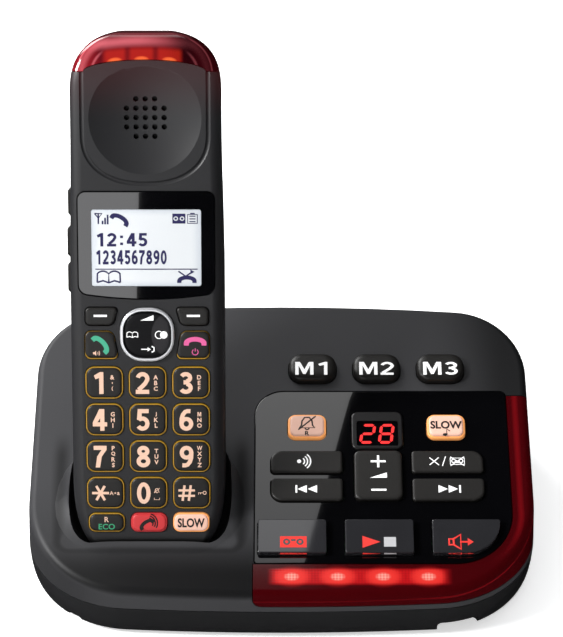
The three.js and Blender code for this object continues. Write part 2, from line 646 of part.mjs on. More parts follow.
function makeRearShell() {
  const { wall } = handset;
  const ledgeSpace = handsetForm(() => wall + gap);
  const ledgeInside = handsetForm(() => wall + gap + batteryCover.ledge);
  const ledge = solid(handsetForm(() => wall / 2)).subtract(solid(ledgeInside))
    .intersect(coverRegion(batteryCover.lap));
  const coverSpace = solid(handsetForm(() => -gap)).subtract(solid(ledgeSpace))
    .intersect(coverRegion(gap));
  const trayFloor = -batteryDepth + battery.radius + gap;
  const tray = trayBox(batteryTray.wall, -handset.gripDepth, trayFloor + batteryTray.wall)
    .intersect(solid(ledgeSpace));
  const shell = handsetSkin.intersect(slab(-handset.gripDepth - overrun, -handset.seam - gap));
  return geometryOf(shell.add(ledge).subtract(coverSpace).add(tray)
    .subtract(trayBox(0, -handset.gripDepth - overrun, trayFloor)));
}

function makeBatteryCover() {
  const grip = new THREE.SphereGeometry(batteryCover.gripLength / 2, 16, 10);
  grip.scale(1, 1, (2 * batteryCover.gripDepth) / batteryCover.gripLength);
  grip.translate(0, batteryCover.top - batteryCover.gripLength, -handset.gripDepth);
  return geometryOf(handsetSkin.intersect(coverRegion(0)).subtract(solid(grip)));
}

function makeBattery() {
  const { radius, length, nub, nubLength } = battery;
  const top = length + nubLength;
  const profile = [[0, 0], [radius, 0], [radius, length], [nub, length], [nub, top], [0, top]];
  return new THREE.LatheGeometry(profile.map(([x, y]) => new THREE.Vector2(x, y)), 16);
}

place(unit, 'handset_front_shell', makeFrontShell(), materials.housing);
place(unit, 'handset_rear_shell', makeRearShell(), materials.housing);
place(unit, 'battery_cover', makeBatteryCover(), materials.housing);
place(unit, 'alert_lens', geometryOf(handsetSkin.intersect(alertRegion(0))), materials.redLens);
place(unit, 'display_window', prism(windowOutline(0), -displayWindow.thickness, 0), materials.gloss);
const lcdFront = -displayWindow.thickness - gap;
place(unit, 'lcd_module', prism(lcdOutline(0), lcdFront - lcd.thickness, lcdFront), materials.display);
place(unit, 'nav_ring', makeNavRing(), materials.chrome);
place(unit, 'side_key', makeSideKey(), materials.key);
place(unit, 'side_volume_rocker', makeSideRocker(), materials.key);
for (const [name, side] of [['battery_left', -1], ['battery_right', 1]]) {
  place(unit, name, makeBattery(), materials.cell, side * (battery.radius + gap / 2),
    batteryTray.bottom + gap, -batteryDepth);
}
for (const [name, side] of [['handset_contact_left', -1], ['handset_contact_right', 1]]) {
  place(unit, name, contactBlock(0, gap, contact.depth, side), materials.metal);
}
const receiverProfile = [
  [0, 0], [receiver.radius, 0], [receiver.radius, -receiver.rimHeight],
  [receiver.rimRadius, -receiver.thickness], [0, -receiver.thickness],
];
const receiverTop = -earDish.depth - earDish.wall - gap;
place(unit, 'receiver', turned(receiverProfile, 20), materials.metal, 0, earDish.v, receiverTop);

// Soft mat under the keys, and the circuit board behind it
const boardBand = (bottom, top, halfWidth, corner) => alongV(
  roundedOutline(rectangle(2 * halfWidth, top - bottom), corner), (top + bottom) / 2);
const within = (outline, from, to) =>
  geometryOf(solid(prism(outline, from, to)).intersect(solid(handsetForm(() => handset.wall + gap))));
const matTop = -keyDepth - keyTravel - gap;
const boardTop = matTop - keypadMat.thickness - gap;
place(unit, 'keypad_mat', within(
  boardBand(keypadMat.bottom, keypadMat.top, keypadMat.halfWidth, keypadMat.corner),
  matTop - keypadMat.thickness, matTop), materials.silicone);
place(unit, 'handset_board', within(
  boardBand(handsetBoard.bottom, handsetBoard.top, handsetBoard.halfWidth, keypadMat.corner),
  boardTop - handsetBoard.thickness, boardTop), materials.board);

// Plan of the base moved in by inset: two bowed edges and four round corners that run into them
function planOutline(inset) {
  const points = [];
  const arc = (x, y, radius, from, to, steps, last) => {
    for (let i = 0; i < steps + last; i++) {
      const angle = lerp(from, to, i / steps);
      points.push(new THREE.Vector2(x + (radius - inset) * Math.cos(angle),
        y + (radius - inset) * Math.sin(angle)));
    }
  };
  const half = base.width / 2;
  const edge = (bow, corner) => {
    const side = half - corner;
    const tilt = Math.asin(side / (bow - corner));
    return { side, tilt, rise: bow - (bow - corner) * Math.cos(tilt) };
  };
  const front = edge(base.frontBow, base.frontCorner);
  const back = edge(base.backBow, base.backCorner);
  const quarter = Math.PI / 2;
  arc(0, frontY + base.frontBow, base.frontBow, -quarter - front.tilt, -quarter + front.tilt,
    steps.frontBow, 0);
  arc(front.side, frontY + front.rise, base.frontCorner, -quarter + front.tilt, 0, steps.frontCorner, 1);
  arc(back.side, backY - back.rise, base.backCorner, 0, quarter - back.tilt, steps.backCorner, 0);
  arc(0, backY - base.backBow, base.backBow, quarter - back.tilt, quarter + back.tilt, steps.backBow, 0);
  arc(-back.side, backY - back.rise, base.backCorner, quarter + back.tilt, 2 * quarter,
    steps.backCorner, 1);
  arc(-front.side, frontY + front.rise, base.frontCorner, 2 * quarter, 3 * quarter - front.tilt,
    steps.frontCorner, 0);
  return points;
}

const deckLevel = (y, n) => base.deckHeight + (y - deck.position.y) * Math.tan(slope) + n / Math.cos(slope);

// Upper body of the base moved in by inset, down to a level
function upperForm(inset, bottom) {
  const edge = Math.max(base.edge - inset, gap);
  const turns = [0, 30, 60, 90].map(degrees);
  const rings = turns.map((turn) => {
    const outline = planOutline(base.draft + inset + edge * (1 - Math.cos(turn)));
    return outline.map((p) => new THREE.Vector3(p.x, p.y,
      deckLevel(p.y, -inset - edge * (1 - Math.sin(turn)))));
  });
  return loft([atLevel(planOutline(inset), bottom), ...rings], flatXY);
}

// Lower body of the base moved in by inset, from its rounded underside up to a level
function lowerForm(inset, top) {
  const turns = [90, 67, 45, 22, 0].map(degrees);
  const bottom = base.footRise + inset;
  const rings = turns.map((turn) =>
    atLevel(planOutline(inset + base.bottomTaper * (1 - Math.cos(turn))),
      lerp(base.seam - gap, bottom, Math.sin(turn))));
  if (top > base.seam - gap) rings.push(atLevel(planOutline(inset), top));
  return loft(rings, flatXY);
}

const upperSkin = solid(upperForm(0, base.seam))
  .subtract(solid(upperForm(base.wall, base.seam - overrun)));

// Cradle: the handset's own form, grown, and the collar drawn up along the handset's axis
const cradleGrow = (v) =>
  cradle.clearance + cradle.scoop * Math.sin(Math.PI * clamp(v / cradle.scoopEnd, 0, 1));
const pocket = () => solid(fromUnit(handsetForm((v) => -cradleGrow(v))));
const cup = () => solid(fromUnit(handsetForm((v) => -cradleGrow(v) - cradle.wall)));

function collar() {
  const { front, back, halfWidth, frontCorner, backCorner } = cradle;
  const corners = rectangle(2 * halfWidth, back - front);
  const radii = [frontCorner, frontCorner, backCorner, backCorner];
  const middle = (front + back) / 2;
  const axisRun = Math.tan(Math.PI / 2 - unit.rotation.x);
  const sweepShares = [[-1, 1], [0, 1], [0.45, 0.42], [0.8, 0.12], [1, 0]];
  const rings = sweepShares.map(([riseShare, footShare]) =>
    roundedOutline(corners, radii, cradle.lipWidth + footShare * cradle.footWidth, steps.collarCorner)
      .map((p) => {
      const rise = lerp(cradle.frontRise, cradle.backRise, smoothstep(p.y, -middle, middle));
      const n = riseShare < 0 ? -cradle.sink : rise * riseShare;
      return new THREE.Vector3(p.x + handset.x, p.y + middle + Math.max(n, 0) * axisRun, n);
    }));
  return solid(fromDeck(loft(rings, flatXY)));
}

// Rest behind the handset, hidden by it from the front
function backrestForm() {
  const { halfWidth, front, back, corner, rise, taper } = backrest;
  const middle = (front + back) / 2;
  const axisRun = Math.tan(Math.PI / 2 - unit.rotation.x);
  const halfTaperShare = 0.4;
  const levels = [[0, -cradle.sink], [0, 0], [halfTaperShare, rise - taper], [1, rise]];
  const rings = levels.map(([taperShare, n]) =>
    roundedOutline(rectangle(2 * halfWidth, back - front), corner, -taper * taperShare, steps.bodyCorner)
      .map((p) => new THREE.Vector3(p.x + handset.x, p.y + middle + Math.max(n, 0) * axisRun, n)));
  return solid(fromDeck(loft(rings, flatXY)));
}

// Window in the base for its control panel. The light lens runs along the same seam line.
function panelOutline(grow) {
  const { left, right, front, back } = panel;
  const corners = quad([left, front], [right, front], [right, back], [left, back]);
  const radii = [panel.frontLeftCorner, panel.frontRightCorner, panel.backRightCorner,
    panel.backLeftCorner];
  return roundedOutline(corners, radii, grow, steps.panelCorner);
}

function lensRegion(grow) {
  const shift = gap - grow;
  const far = base.width / 2 + overrun;
  const seamX = panel.right + shift;
  const seamT = panel.front - shift;
  const corner = panel.frontRightCorner + shift;
  const shape = new THREE.Shape();
  shape.moveTo(lightLens.left - grow, -base.depth);
  shape.lineTo(far, -base.depth);
  shape.lineTo(far, lightLens.back + grow);
  shape.lineTo(seamX, lightLens.back + grow);
  shape.lineTo(seamX, seamT + corner);
  shape.absarc(seamX - corner, seamT + corner, corner, 0, -Math.PI / 2, true);
  shape.lineTo(lightLens.left - grow, seamT);
  const outline = withoutRepeats(shape.getPoints(steps.panelCorner));
  const plan = fromDeck(prism(outline, -base.deckHeight - overrun, overrun));
  const tall = base.deckHeight + base.depth;
  const corners = quad(
    [lightLens.left - grow, lightLens.bottom - grow], [far, lightLens.bottom - grow],
    [far, tall], [lightLens.left - grow, tall]);
  const frontView = prism(roundedOutline(corners, [lightLens.corner + grow, gap, gap, gap]),
    -base.depth, base.depth);
  return solid(plan).intersect(solid(frontView.rotateX(Math.PI / 2)));
}

// Keys and display of the deck: name, outline, place, rise and finish
const oneCorner = (sizes, column, row) => {
  const radii = [sizes.corner, sizes.corner, sizes.corner, sizes.corner];
  const index = { left: { lower: 0, upper: 3 }, right: { lower: 1, upper: 2 } }[column][row];
  radii[index] = sizes.outerCorner;
  return radii;
};
const deckKeys = [];
['memory_key_1', 'memory_key_2', 'memory_key_3'].forEach((name, i) => deckKeys.push({
  name, sizes: memoryKey, x: memoryKey.x + (i - 1) * memoryKey.pitch, t: memoryKey.t,
    material: materials.key }));
deckKeys.push(
  { name: 'ringer_key', sizes: tintedKey, x: tintedKey.leftX, t: tintedKey.t,
    material: materials.tinted },
  { name: 'slow_play_key', sizes: tintedKey, x: tintedKey.rightX, t: tintedKey.t,
    material: materials.tinted },
  { name: 'locator_key', sizes: wideKey, x: wideKey.leftX, t: wideKey.t + wideKey.pitch,
    spot: ['left', 'upper'] },
  { name: 'previous_key', sizes: wideKey, x: wideKey.leftX, t: wideKey.t, spot: ['left', 'lower'] },
  { name: 'erase_key', sizes: wideKey, x: wideKey.rightX, t: wideKey.t + wideKey.pitch,
    spot: ['right', 'upper'] },
  { name: 'next_key', sizes: wideKey, x: wideKey.rightX, t: wideKey.t, spot: ['right', 'lower'] },
  { name: 'volume_rocker', sizes: volumeKey, x: volumeKey.x, t: volumeKey.t },
);
['answer_key', 'play_stop_key', 'speaker_key'].forEach((name, i) => deckKeys.push({
  name, sizes: largeKey, x: largeKey.x + (i - 1) * largeKey.pitch, t: largeKey.t,
    material: materials.gloss,
  radii: [largeKey.corner, i === 2 ? largeKey.sweptCorner : largeKey.corner, largeKey.corner,
    largeKey.corner] }));

const deckKeyOutline = (key, grow) => {
  const { width, height, corner } = key.sizes;
  const radii = key.radii ?? (key.spot ? oneCorner(key.sizes, ...key.spot) : corner);
  const turns = key.radii?.includes(largeKey.sweptCorner) ? steps.sweptCorner : steps.keyCorner;
  return roundedOutline(rectangle(width, height), radii, grow, turns);
};
for (const key of deckKeys) {
  const { rise, edge } = key.sizes;
  const cap = keyCap((grow) => deckKeyOutline(key, grow), deckKeyDepth, rise, edge);
  place(deck, key.name, cap, key.material ?? materials.key, key.x, key.t, 0);
}
const deckOpening = (key) =>
  prism(deckKeyOutline(key, gap), -base.wall - overrun, overrun).translate(key.x, key.t, 0);

const displayOutline = (grow) => roundedOutline(
  rectangle(messageDisplay.width, messageDisplay.height), messageDisplay.corner, grow);

function makeMessageDisplay() {
  const { rise, edge, depth, windowWidth, windowHeight, windowCorner, windowDepth } = messageDisplay;
  const block = loft([
    atLevel(displayOutline(0), -depth), atLevel(displayOutline(0), rise - edge),
    atLevel(displayOutline(-edge), rise),
  ], flatXY);
  const window = prism(roundedOutline(rectangle(windowWidth, windowHeight), windowCorner),
    rise - windowDepth, overrun);
  return geometryOf(solid(block).subtract(solid(window)));
}

function makeControlPanel() {
  let plate = solid(prism(panelOutline(0), -panel.thickness, 0));
  for (const key of deckKeys) {
    if (key.sizes !== memoryKey) plate = plate.subtract(solid(deckOpening(key)));
  }
  const display = prism(displayOutline(gap), -overrun, overrun)
    .translate(messageDisplay.x, messageDisplay.t, 0);
  return geometryOf(plate.subtract(solid(display)));
}

// Sockets in the back wall, each in an opening of its own outline and just behind the wall's outer face
const backWallFace = (x, z) => {
  const lean = (base.draft * (z - base.seam)) / (deckLevel(backY, 0) - base.seam);
  return backY - base.backBow + Math.sqrt((base.backBow - lean) ** 2 - x ** 2);
};
const socketFace = (jack) =>
  backWallFace(Math.abs(jack.x) + jack.width / 2, socketCentre + jack.height / 2) - gap;
const socketOutline = (jack, grow) => roundedOutline(rectangle(jack.width, jack.height), gap, grow, 1);
const backward = (geometry, x, y) => geometry.rotateX(-Math.PI / 2).translate(x, y, socketCentre);

function makeLineJack() {
  const block = prism(socketOutline(lineJack, 0), -lineJack.depth, 0);
  const mouthOutline = roundedOutline(rectangle(lineJack.mouthWidth, lineJack.mouthHeight), gap, 0, 1);
  const mouth = prism(mouthOutline, -lineJack.mouthDepth, overrun);
  return backward(geometryOf(solid(block).subtract(solid(mouth))), 0, 0);
}

function makePowerJack() {
  const block = prism(socketOutline(powerJack, 0), -powerJack.depth, 0);
  const bore = post(powerJack.bore, -powerJack.boreDepth, overrun, 16);
  const pin = post(powerJack.pin, -powerJack.boreDepth - powerJack.pin,
    -powerJack.boreDepth + powerJack.pinLength, 8);
  return backward(geometryOf(solid(block).subtract(solid(bore)).add(solid(pin))), 0, 0);
}

function fourPlaces({ sideMargin, frontMargin, backMargin }) {
  const across = base.width / 2 - sideMargin;
  const front = frontY + frontMargin;
  const back = backY - backMargin;
  return [[-across, front], [across, front], [-across, back], [across, back]];
}

// Round-nosed pin beside the handset's axis
function pinShaft(radius, from, to, side) {
  const nose = [radius * Math.SQRT1_2, to - radius * (1 - Math.SQRT1_2)];
  return turned([[0, from], [radius, from], [radius, to - radius], nose, [0, to]], 12)
    .rotateX(-Math.PI / 2).translate(side * contact.u, 0, contact.w);
}

function makeUpperHousing() {
  const room = solid(upperForm(base.wall / 2, base.footRise + base.wall + gap));
  const boardTopN = -deckKeyDepth - 2 * keyTravel - gap;
  let housing = upperSkin.add(cup().intersect(room)).add(collar()).add(backrestForm());
  for (const [x, y] of fourPlaces(screwPost)) {
    const pillar = solid(post(screwPost.radius, base.seam, base.deckHeight + base.depth)
      .translate(x, y, 0));
    housing = housing.add(pillar.intersect(room));
  }
  const postLeft = mainBoard.left + boardPost.leftInset;
  const postRight = mainBoard.right - boardPost.rightInset;
  const postFront = mainBoard.front + boardPost.frontInset;
  const postBack = mainBoard.back - boardPost.backInset;
  for (const [x, t] of [[postLeft, postFront], [postLeft, postBack], [postRight, postBack]]) {
    const boss = post(boardPost.radius, boardTopN + gap, -base.wall / 2).translate(x, t, 0);
    housing = housing.add(solid(fromDeck(boss)));
  }
  housing = housing.subtract(pocket());
  housing = housing.subtract(solid(fromDeck(prism(panelOutline(gap), -panel.thickness - gap, overrun))));
  const way = prism(panelOutline(-panel.ledge), -base.wall - gap, overrun);
  housing = housing.subtract(solid(fromDeck(way)));
  housing = housing.subtract(lensRegion(gap));
  for (const key of deckKeys) housing = housing.subtract(solid(fromDeck(deckOpening(key))));
  const through = 2 * base.wall + overrun;
  for (const jack of [lineJack, powerJack]) {
    const opening = prism(socketOutline(jack, gap), -through, through);
    housing = housing.subtract(solid(backward(opening, jack.x, backY)));
  }
  for (const side of [-1, 1]) {
    const hole = pinShaft(chargePin.radius + gap, -chargePin.length - overrun, overrun / 2, side);
    housing = housing.subtract(solid(fromUnit(hole)));
  }
  return geometryOf(housing);
}

// Lower housing: rounded tray with moulded feet, screw pillars, sound slots and two notches in its
// front skirt
function makeLowerHousing() {
  const inside = lowerForm(base.wall, base.seam + overrun);
  let housing = solid(lowerForm(0, base.seam - gap)).subtract(solid(inside));
  for (const [x, y] of fourPlaces(foot)) {
    housing = housing.add(solid(post(foot.radius, 0, base.footRise + foot.sink, 20).translate(x, y, 0)));
  }
  for (const [x, y] of fourPlaces(screwPost)) {
    const top = base.seam - gap;
    housing = housing.add(solid(post(screwPost.radius, base.footRise + base.wall / 2, top)
      .translate(x, y, 0)));
  }
  const skirt = planOutline(base.bottomTaper).filter((p) => p.y < 0);
  for (const x of [notch.leftMargin - base.width / 2, base.width / 2 - notch.rightMargin]) {
    const nearest = skirt.reduce((best, p) => (Math.abs(p.x - x) < Math.abs(best.x - x) ? p : best));
    const box = (grow) => {
      const outline = roundedOutline(rectangle(notch.width, 2 * notch.reach), notch.wall, grow);
      return solid(prism(outline, 0, base.footRise + notch.height + grow).translate(x, nearest.y, 0));
    };
    const block = box(notch.wall).intersect(solid(lowerForm(base.wall / 2, base.seam - gap)));
    housing = housing.add(block).subtract(box(0));
  }
  const middle = (speakerSlot.count - 1) / 2;
  for (let i = 0; i < speakerSlot.count; i++) {
    const outline = roundedOutline(rectangle(speakerSlot.length, speakerSlot.width),
      speakerSlot.width / 2 - gap);
    const slot = prism(outline, -overrun, base.footRise + base.wall + overrun / 2);
    const y = speaker.y + (i - middle) * speakerSlot.pitch;
    housing = housing.subtract(solid(slot.translate(speaker.x, y, 0)));
  }
  return geometryOf(housing);
}

function makeMainBoard() {
  const { left, right, front, back, corner, thickness } = mainBoard;
  const top = -deckKeyDepth - 2 * keyTravel - gap;
  const corners = quad([left, front], [right, front], [right, back], [left, back]);
  const outline = roundedOutline(corners, [corner, panel.frontRightCorner, corner, corner]);
  const board = solid(fromDeck(prism(outline, top - thickness, top)));
  return geometryOf(board.intersect(solid(upperForm(base.wall + 2 * gap, base.seam))));
}

place(phone, 'upper_housing', makeUpperHousing(), materials.housing);
place(phone, 'lower_housing', makeLowerHousing(), materials.housing);
place(phone, 'light_lens', geometryOf(upperSkin.intersect(lensRegion(0))), materials.redLens);
place(phone, 'main_board', makeMainBoard(), materials.board);
place(deck, 'control_panel', makeControlPanel(), materials.gloss);
place(deck, 'message_display', makeMessageDisplay(), materials.display, messageDisplay.x,
  messageDisplay.t, 0);
place(phone, 'line_jack', makeLineJack(), materials.socket, lineJack.x, socketFace(lineJack), 0);
place(phone, 'power_jack', makePowerJack(), materials.socket, powerJack.x, socketFace(powerJack), 0);
for (const [name, side] of [['charge_pin_left', -1], ['charge_pin_right', 1]]) {
  place(unit, name, pinShaft(chargePin.radius, -chargePin.length, -gap, side), materials.metal);
}
const floorTop = base.footRise + base.wall + gap;
const speakerProfile = [
  [0, 0], [speaker.radius, 0], [speaker.radius, speaker.rimHeight],
  [speaker.magnetRadius, speaker.rimHeight], [speaker.magnetRadius, speaker.magnetHeight],
  [0, speaker.magnetHeight],
];
place(phone, 'speaker', turned(speakerProfile, 24), materials.metal, speaker.x, speaker.y, floorTop);

// The origin is the middle of the whole footprint, on the surface that the base stands on
const reach = new THREE.Box3().setFromObject(phone, true).getCenter(new THREE.Vector3());
phone.position.set(-reach.x, -reach.y, 0);

export default phone;
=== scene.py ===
import json
import itertools
import math

import bpy
from mathutils import Matrix, Vector


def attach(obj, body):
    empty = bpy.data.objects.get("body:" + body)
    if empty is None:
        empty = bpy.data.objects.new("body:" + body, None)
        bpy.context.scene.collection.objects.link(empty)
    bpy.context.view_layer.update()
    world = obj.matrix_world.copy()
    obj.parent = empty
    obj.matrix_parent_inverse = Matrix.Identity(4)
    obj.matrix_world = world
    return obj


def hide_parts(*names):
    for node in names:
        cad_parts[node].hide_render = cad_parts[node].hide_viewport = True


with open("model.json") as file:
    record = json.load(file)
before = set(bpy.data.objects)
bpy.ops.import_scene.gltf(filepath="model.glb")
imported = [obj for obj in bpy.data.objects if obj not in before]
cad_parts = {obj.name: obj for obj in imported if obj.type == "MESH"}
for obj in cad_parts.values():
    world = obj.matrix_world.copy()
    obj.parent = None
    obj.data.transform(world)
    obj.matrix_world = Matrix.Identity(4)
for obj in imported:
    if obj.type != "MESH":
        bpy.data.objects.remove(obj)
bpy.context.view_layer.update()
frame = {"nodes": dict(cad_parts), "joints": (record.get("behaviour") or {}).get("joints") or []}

# Sizes are millimetres in the piece's own frame, and MM turns them into metres.
MM = 0.001
ACROSS = Vector((1, 0, 0))

# Handset, as the CAD nodes have it: u across, v up from the foot, w out of the keypad face
GRIP_WIDTH, HEAD_WIDTH, GRIP_DEPTH, HEAD_DEPTH = 51.4, 49.8, 28, 19.5
LENGTH, GRIP_END, HEAD_START, NECK_START = 179.6, 96, 150, 112
FOOT_ROUND, CROWN_ROUND = 31, 21
FOOT_DROP, FOOT_DROP_LENGTH, FOOT_LIFT = 5, 7, 13
CROWN_DROP, CROWN_DROP_LENGTH, CROWN_LIFT = 6.5, 16, 5.5
FRONT_EDGE, BACK_EDGE, WALL, SEAM = 4, 9, 2, 15
ROUND_POWER = 2.75
BLUNT_SHARE = 0.975
DISH_V, DISH_RADIUS, DISH_DEPTH = 151.9, 18.7, 3
HOLE_RADIUS, HOLE_PITCH = 0.92, 3.1
LENS_LEG_V, LENS_MIDDLE_V, LENS_LEG_INNER, LENS_WRAP = 167.4, 171.2, 20.2, 11
ROCKER_U, ROCKER_V, ROCKER_W = -24.5, 103.4, -10
WINDOW_HALF, WINDOW_BOTTOM, WINDOW_TOP = 22.7, 92.9, 127.6
LCD_HALF, LCD_BOTTOM, LCD_TOP = 18.3, 95.8, 121.7
GAP = 0.3

# Keys of the handset: width, height, corner, rise, places
DIGIT_KEY = {"width": 12.55, "height": 10.9, "corner": 3, "rise": 0.8, "pitch_u": 14.55, "pitch_v": 12.7, "v": 24.95}
FOOT_KEY = {"width": 12.2, "height": 6.5, "corner": 2.4, "rise": 1.0, "pitch_u": 14.3, "v": 14.6}
SOFT_KEY = {"outer": 20.6, "inner_top": 9.6, "inner_bottom": 11.3, "bottom": 82.6, "top": 88.7, "corner": 1.6, "rise": 0.8}
CALL_KEY = {"outer": 20.8, "inner_top": 11.4, "inner_bottom": 9.6, "bottom": 71.1, "top": 80.6, "corner": 2, "rise": 0.8}
NAV = {"size": 18.2, "corner": 7.6, "width": 1.0, "rise": 1.1, "v": 79.5}
KEY_DEPTH = 3.3

# Deck of the base: x across, t up the slope from its front edge, n out of it
BASE_WIDTH, BASE_DEPTH = 174.8, 116.57
FRONT_CORNER, BACK_CORNER, BOW = 36, 26, 900
FOOT_RISE, BOTTOM_TAPER, BASE_SEAM, DRAFT, TOP_EDGE = 1.2, 2, 13.4, 0.8, 2.6
DECK_KEY_DEPTH = 3.4
VOLUME_X, VOLUME_T = 33.4, 44.4
PANEL = {"left": -9.2, "right": 78.8, "front": 10.2, "back": 79.3, "thick": 1.2, "radii": (1, 20, 2, 10)}
LENS = {"left": -9.6, "back": 77.4, "bottom": 15.6, "corner": 2.8, "seam": 0.3}
MEMORY_KEY = {"width": 16.7, "height": 11.4, "corner": 4.6, "rise": 3.2, "x": 33.6, "t": 88.3, "pitch": 22.6}
TINTED_KEY = {"width": 13.3, "height": 9.8, "corner": 2.8, "rise": 1.8, "left": 8.9, "right": 57.4, "t": 64.2}
WIDE_KEY = {"width": 24.8, "height": 8.9, "corner": 1.3, "outer": 4, "rise": 1.2, "left": 8.7, "right": 57.4, "t": 38.7, "pitch": 11.1}
VOLUME_KEY = {"width": 16.6, "height": 19.8, "corner": 2.4, "rise": 1.5}
LARGE_KEY = {"width": 23.3, "height": 13, "corner": 0.9, "swept": 12, "rise": 2.1, "x": 33.2, "t": 19.8, "pitch": 29.6}
COUNTER = {"width": 18, "height": 15.6, "corner": 2.6, "rise": 0.8, "t": 62.8, "window": (14.6, 10.2), "sunk": 0.9}
CRADLE = {
    "clearance": 1, "scoop": 1.5, "scoop_end": 37, "front": 19, "back": 58, "half": 27,
    "front_corner": 14, "back_corner": 24, "front_rise": 1.6, "back_rise": 5, "lip": 1.2, "foot": 4.4,
}
BACKREST = {"half": 19, "front": 50, "back": 66, "corner": 7, "rise": 9, "taper": 2.2}
HANDSET_X = -44.9

joints = {joint["name"]: joint for joint in frame["joints"]}


def placing(origin, along):
    """Frame of a sloping face: its first axis is the world's X, its second runs along it."""
    out = ACROSS.cross(along)
    turn = Matrix((ACROSS, along, out)).transposed().to_4x4()
    return Matrix.Translation(origin) @ turn


def handset_frame():
    along = Vector(joints["handset_lift"]["axis"]).normalized()
    out = ACROSS.cross(along)
    rocker = Vector(joints["side_volume_rocker_tilt"]["pos_m"])
    return placing(rocker - MM * (ROCKER_U * ACROSS + ROCKER_V * along + ROCKER_W * out), along)


def deck_frame():
    out = -Vector(joints["answer_key_press"]["axis"]).normalized()
    along = out.cross(ACROSS)
    rocker = Vector(joints["volume_rocker_tilt"]["pos_m"])
    return placing(rocker - MM * (VOLUME_X * ACROSS + VOLUME_T * along), along)


HANDSET = handset_frame()
DECK = deck_frame()
WORLD = Matrix.Identity(4)
HANDSET_IN_DECK = DECK.inverted() @ HANDSET


# ---- modelling by operators

def only(*objects):
    if bpy.context.object and bpy.context.object.mode != "OBJECT":
        bpy.ops.object.mode_set(mode="OBJECT")
    bpy.ops.object.select_all(action="DESELECT")
    for obj in objects:
        obj.select_set(True)
    bpy.context.view_layer.objects.active = objects[0]


def pick(obj, kind, test):
    """Leaves obj in edit mode with just those verts, edges or faces selected that pass the test."""
    only(obj)
    mesh = obj.data
    for elements in (mesh.vertices, mesh.edges, mesh.polygons):
        for element in elements:
            element.select = False
    chosen = {"VERT": mesh.vertices, "EDGE": mesh.edges, "FACE": mesh.polygons}[kind]
    for element in chosen:
        element.select = bool(test(element))
    bpy.ops.object.mode_set(mode="EDIT")
    bpy.ops.mesh.select_mode(type=kind)


def modify(obj, kind, **settings):
    only(obj)
    modifier = obj.modifiers.new(kind.title(), kind)
    for name, value in settings.items():
        setattr(modifier, name, value)
    bpy.ops.object.modifier_apply(modifier=modifier.name)


def settle(obj, placing_matrix):
    """Puts the place into the mesh, with the object left at the origin."""
    only(obj)
    obj.data.transform(placing_matrix @ obj.matrix_world)
    obj.matrix_world = WORLD
    return obj


def outward(obj):
    pick(obj, "FACE", lambda face: True)
    bpy.ops.mesh.remove_doubles(threshold=0.002 * MM)
    bpy.ops.mesh.normals_make_consistent(inside=False)
    bpy.ops.object.mode_set(mode="OBJECT")


def shade(obj, angle=32):
    only(obj)
    bpy.ops.object.shade_smooth_by_angle(angle=math.radians(angle))
    modify(obj, "WEIGHTED_NORMAL", keep_sharp=True, weight=60)


def plate(name, corners, radii, low, high, edge=0, turns=7, steps=3):
    """Slab on a four-cornered outline with rounded corners. Its upper rim is rounded by edge."""
    bpy.ops.mesh.primitive_plane_add(size=1)
    obj = bpy.context.object
    obj.name = name
    order = ((-0.5, -0.5), (0.5, -0.5), (0.5, 0.5), (-0.5, 0.5))
    for vertex in obj.data.vertices:
        index = order.index((round(vertex.co.x, 1), round(vertex.co.y, 1)))
        vertex.co = MM * Vector((*corners[index], low))
    if not isinstance(radii, (tuple, list)):
        radii = (radii,) * 4
    for corner, radius in zip(corners, radii):
        spot = MM * Vector((*corner, low))
        pick(obj, "VERT", lambda vertex: (vertex.co - spot).length < 0.01 * MM)
        bpy.ops.mesh.bevel(offset=radius * MM, segments=turns, affect="VERTICES")
    pick(obj, "FACE", lambda face: True)
    bpy.ops.mesh.extrude_region_move(TRANSFORM_OT_translate={"value": (0, 0, (high - low) * MM)})
    if edge:
        bpy.ops.mesh.region_to_loop()
        bpy.ops.mesh.bevel(offset=edge * MM, segments=steps, affect="EDGES")
    outward(obj)
    return obj


def box_corners(width, height, x=0, y=0):
    left, right, low, high = x - width / 2, x + width / 2, y - height / 2, y + height / 2
    return ((left, low), (right, low), (right, high), (left, high))


def shrunk(corners, by):
    """Corners of a four-cornered outline moved in by a distance on each side."""
    points = [Vector(corner) for corner in corners]
    moved = []
    for index, point in enumerate(points):
        into = (point - points[index - 1]).normalized()
        out = (points[(index + 1) % 4] - point).normalized()
        inward = Vector((-into.y - out.y, into.x + out.x)).normalized()
        half = into.angle(out) / 2
        moved.append(tuple(point + inward * by / math.cos(half)))
    return tuple(moved)


def cut(obj, tool, operation="DIFFERENCE", keep=False):
    only(obj)
    modifier = obj.modifiers.new("Cut", "BOOLEAN")
    modifier.operation = operation
    modifier.object = tool
    modifier.solver = "EXACT"
    bpy.ops.object.modifier_apply(modifier=modifier.name)
    if not keep:
        bpy.data.objects.remove(tool)
    return obj


def copied(obj, name):
    twin = obj.copy()
    twin.data = obj.data.copy()
    twin.name = name
    bpy.context.scene.collection.objects.link(twin)
    return twin


def joined(name, objects):
    only(*objects)
    if len(objects) > 1:
        bpy.ops.object.join()
    obj = bpy.context.object
    obj.name = name
    return obj


# Shapes of one legend overlap, so each lies a hair above the last
HAIRS = itertools.cycle((0.0, 0.003, 0.006, 0.009, 0.012))


def flat_shape(curve, level, squash):
    obj = bpy.data.objects.new(curve.name, curve)
    bpy.context.scene.collection.objects.link(obj)
    only(obj)
    bpy.ops.object.convert(target="MESH")
    obj = bpy.context.object
    return settle(obj, Matrix.Translation((0, 0, (level + next(HAIRS)) * MM)) @ Matrix.Diagonal((1, 1, squash, 1)))


# ---- materials: a wrapper that lets shader maths be written as expressions

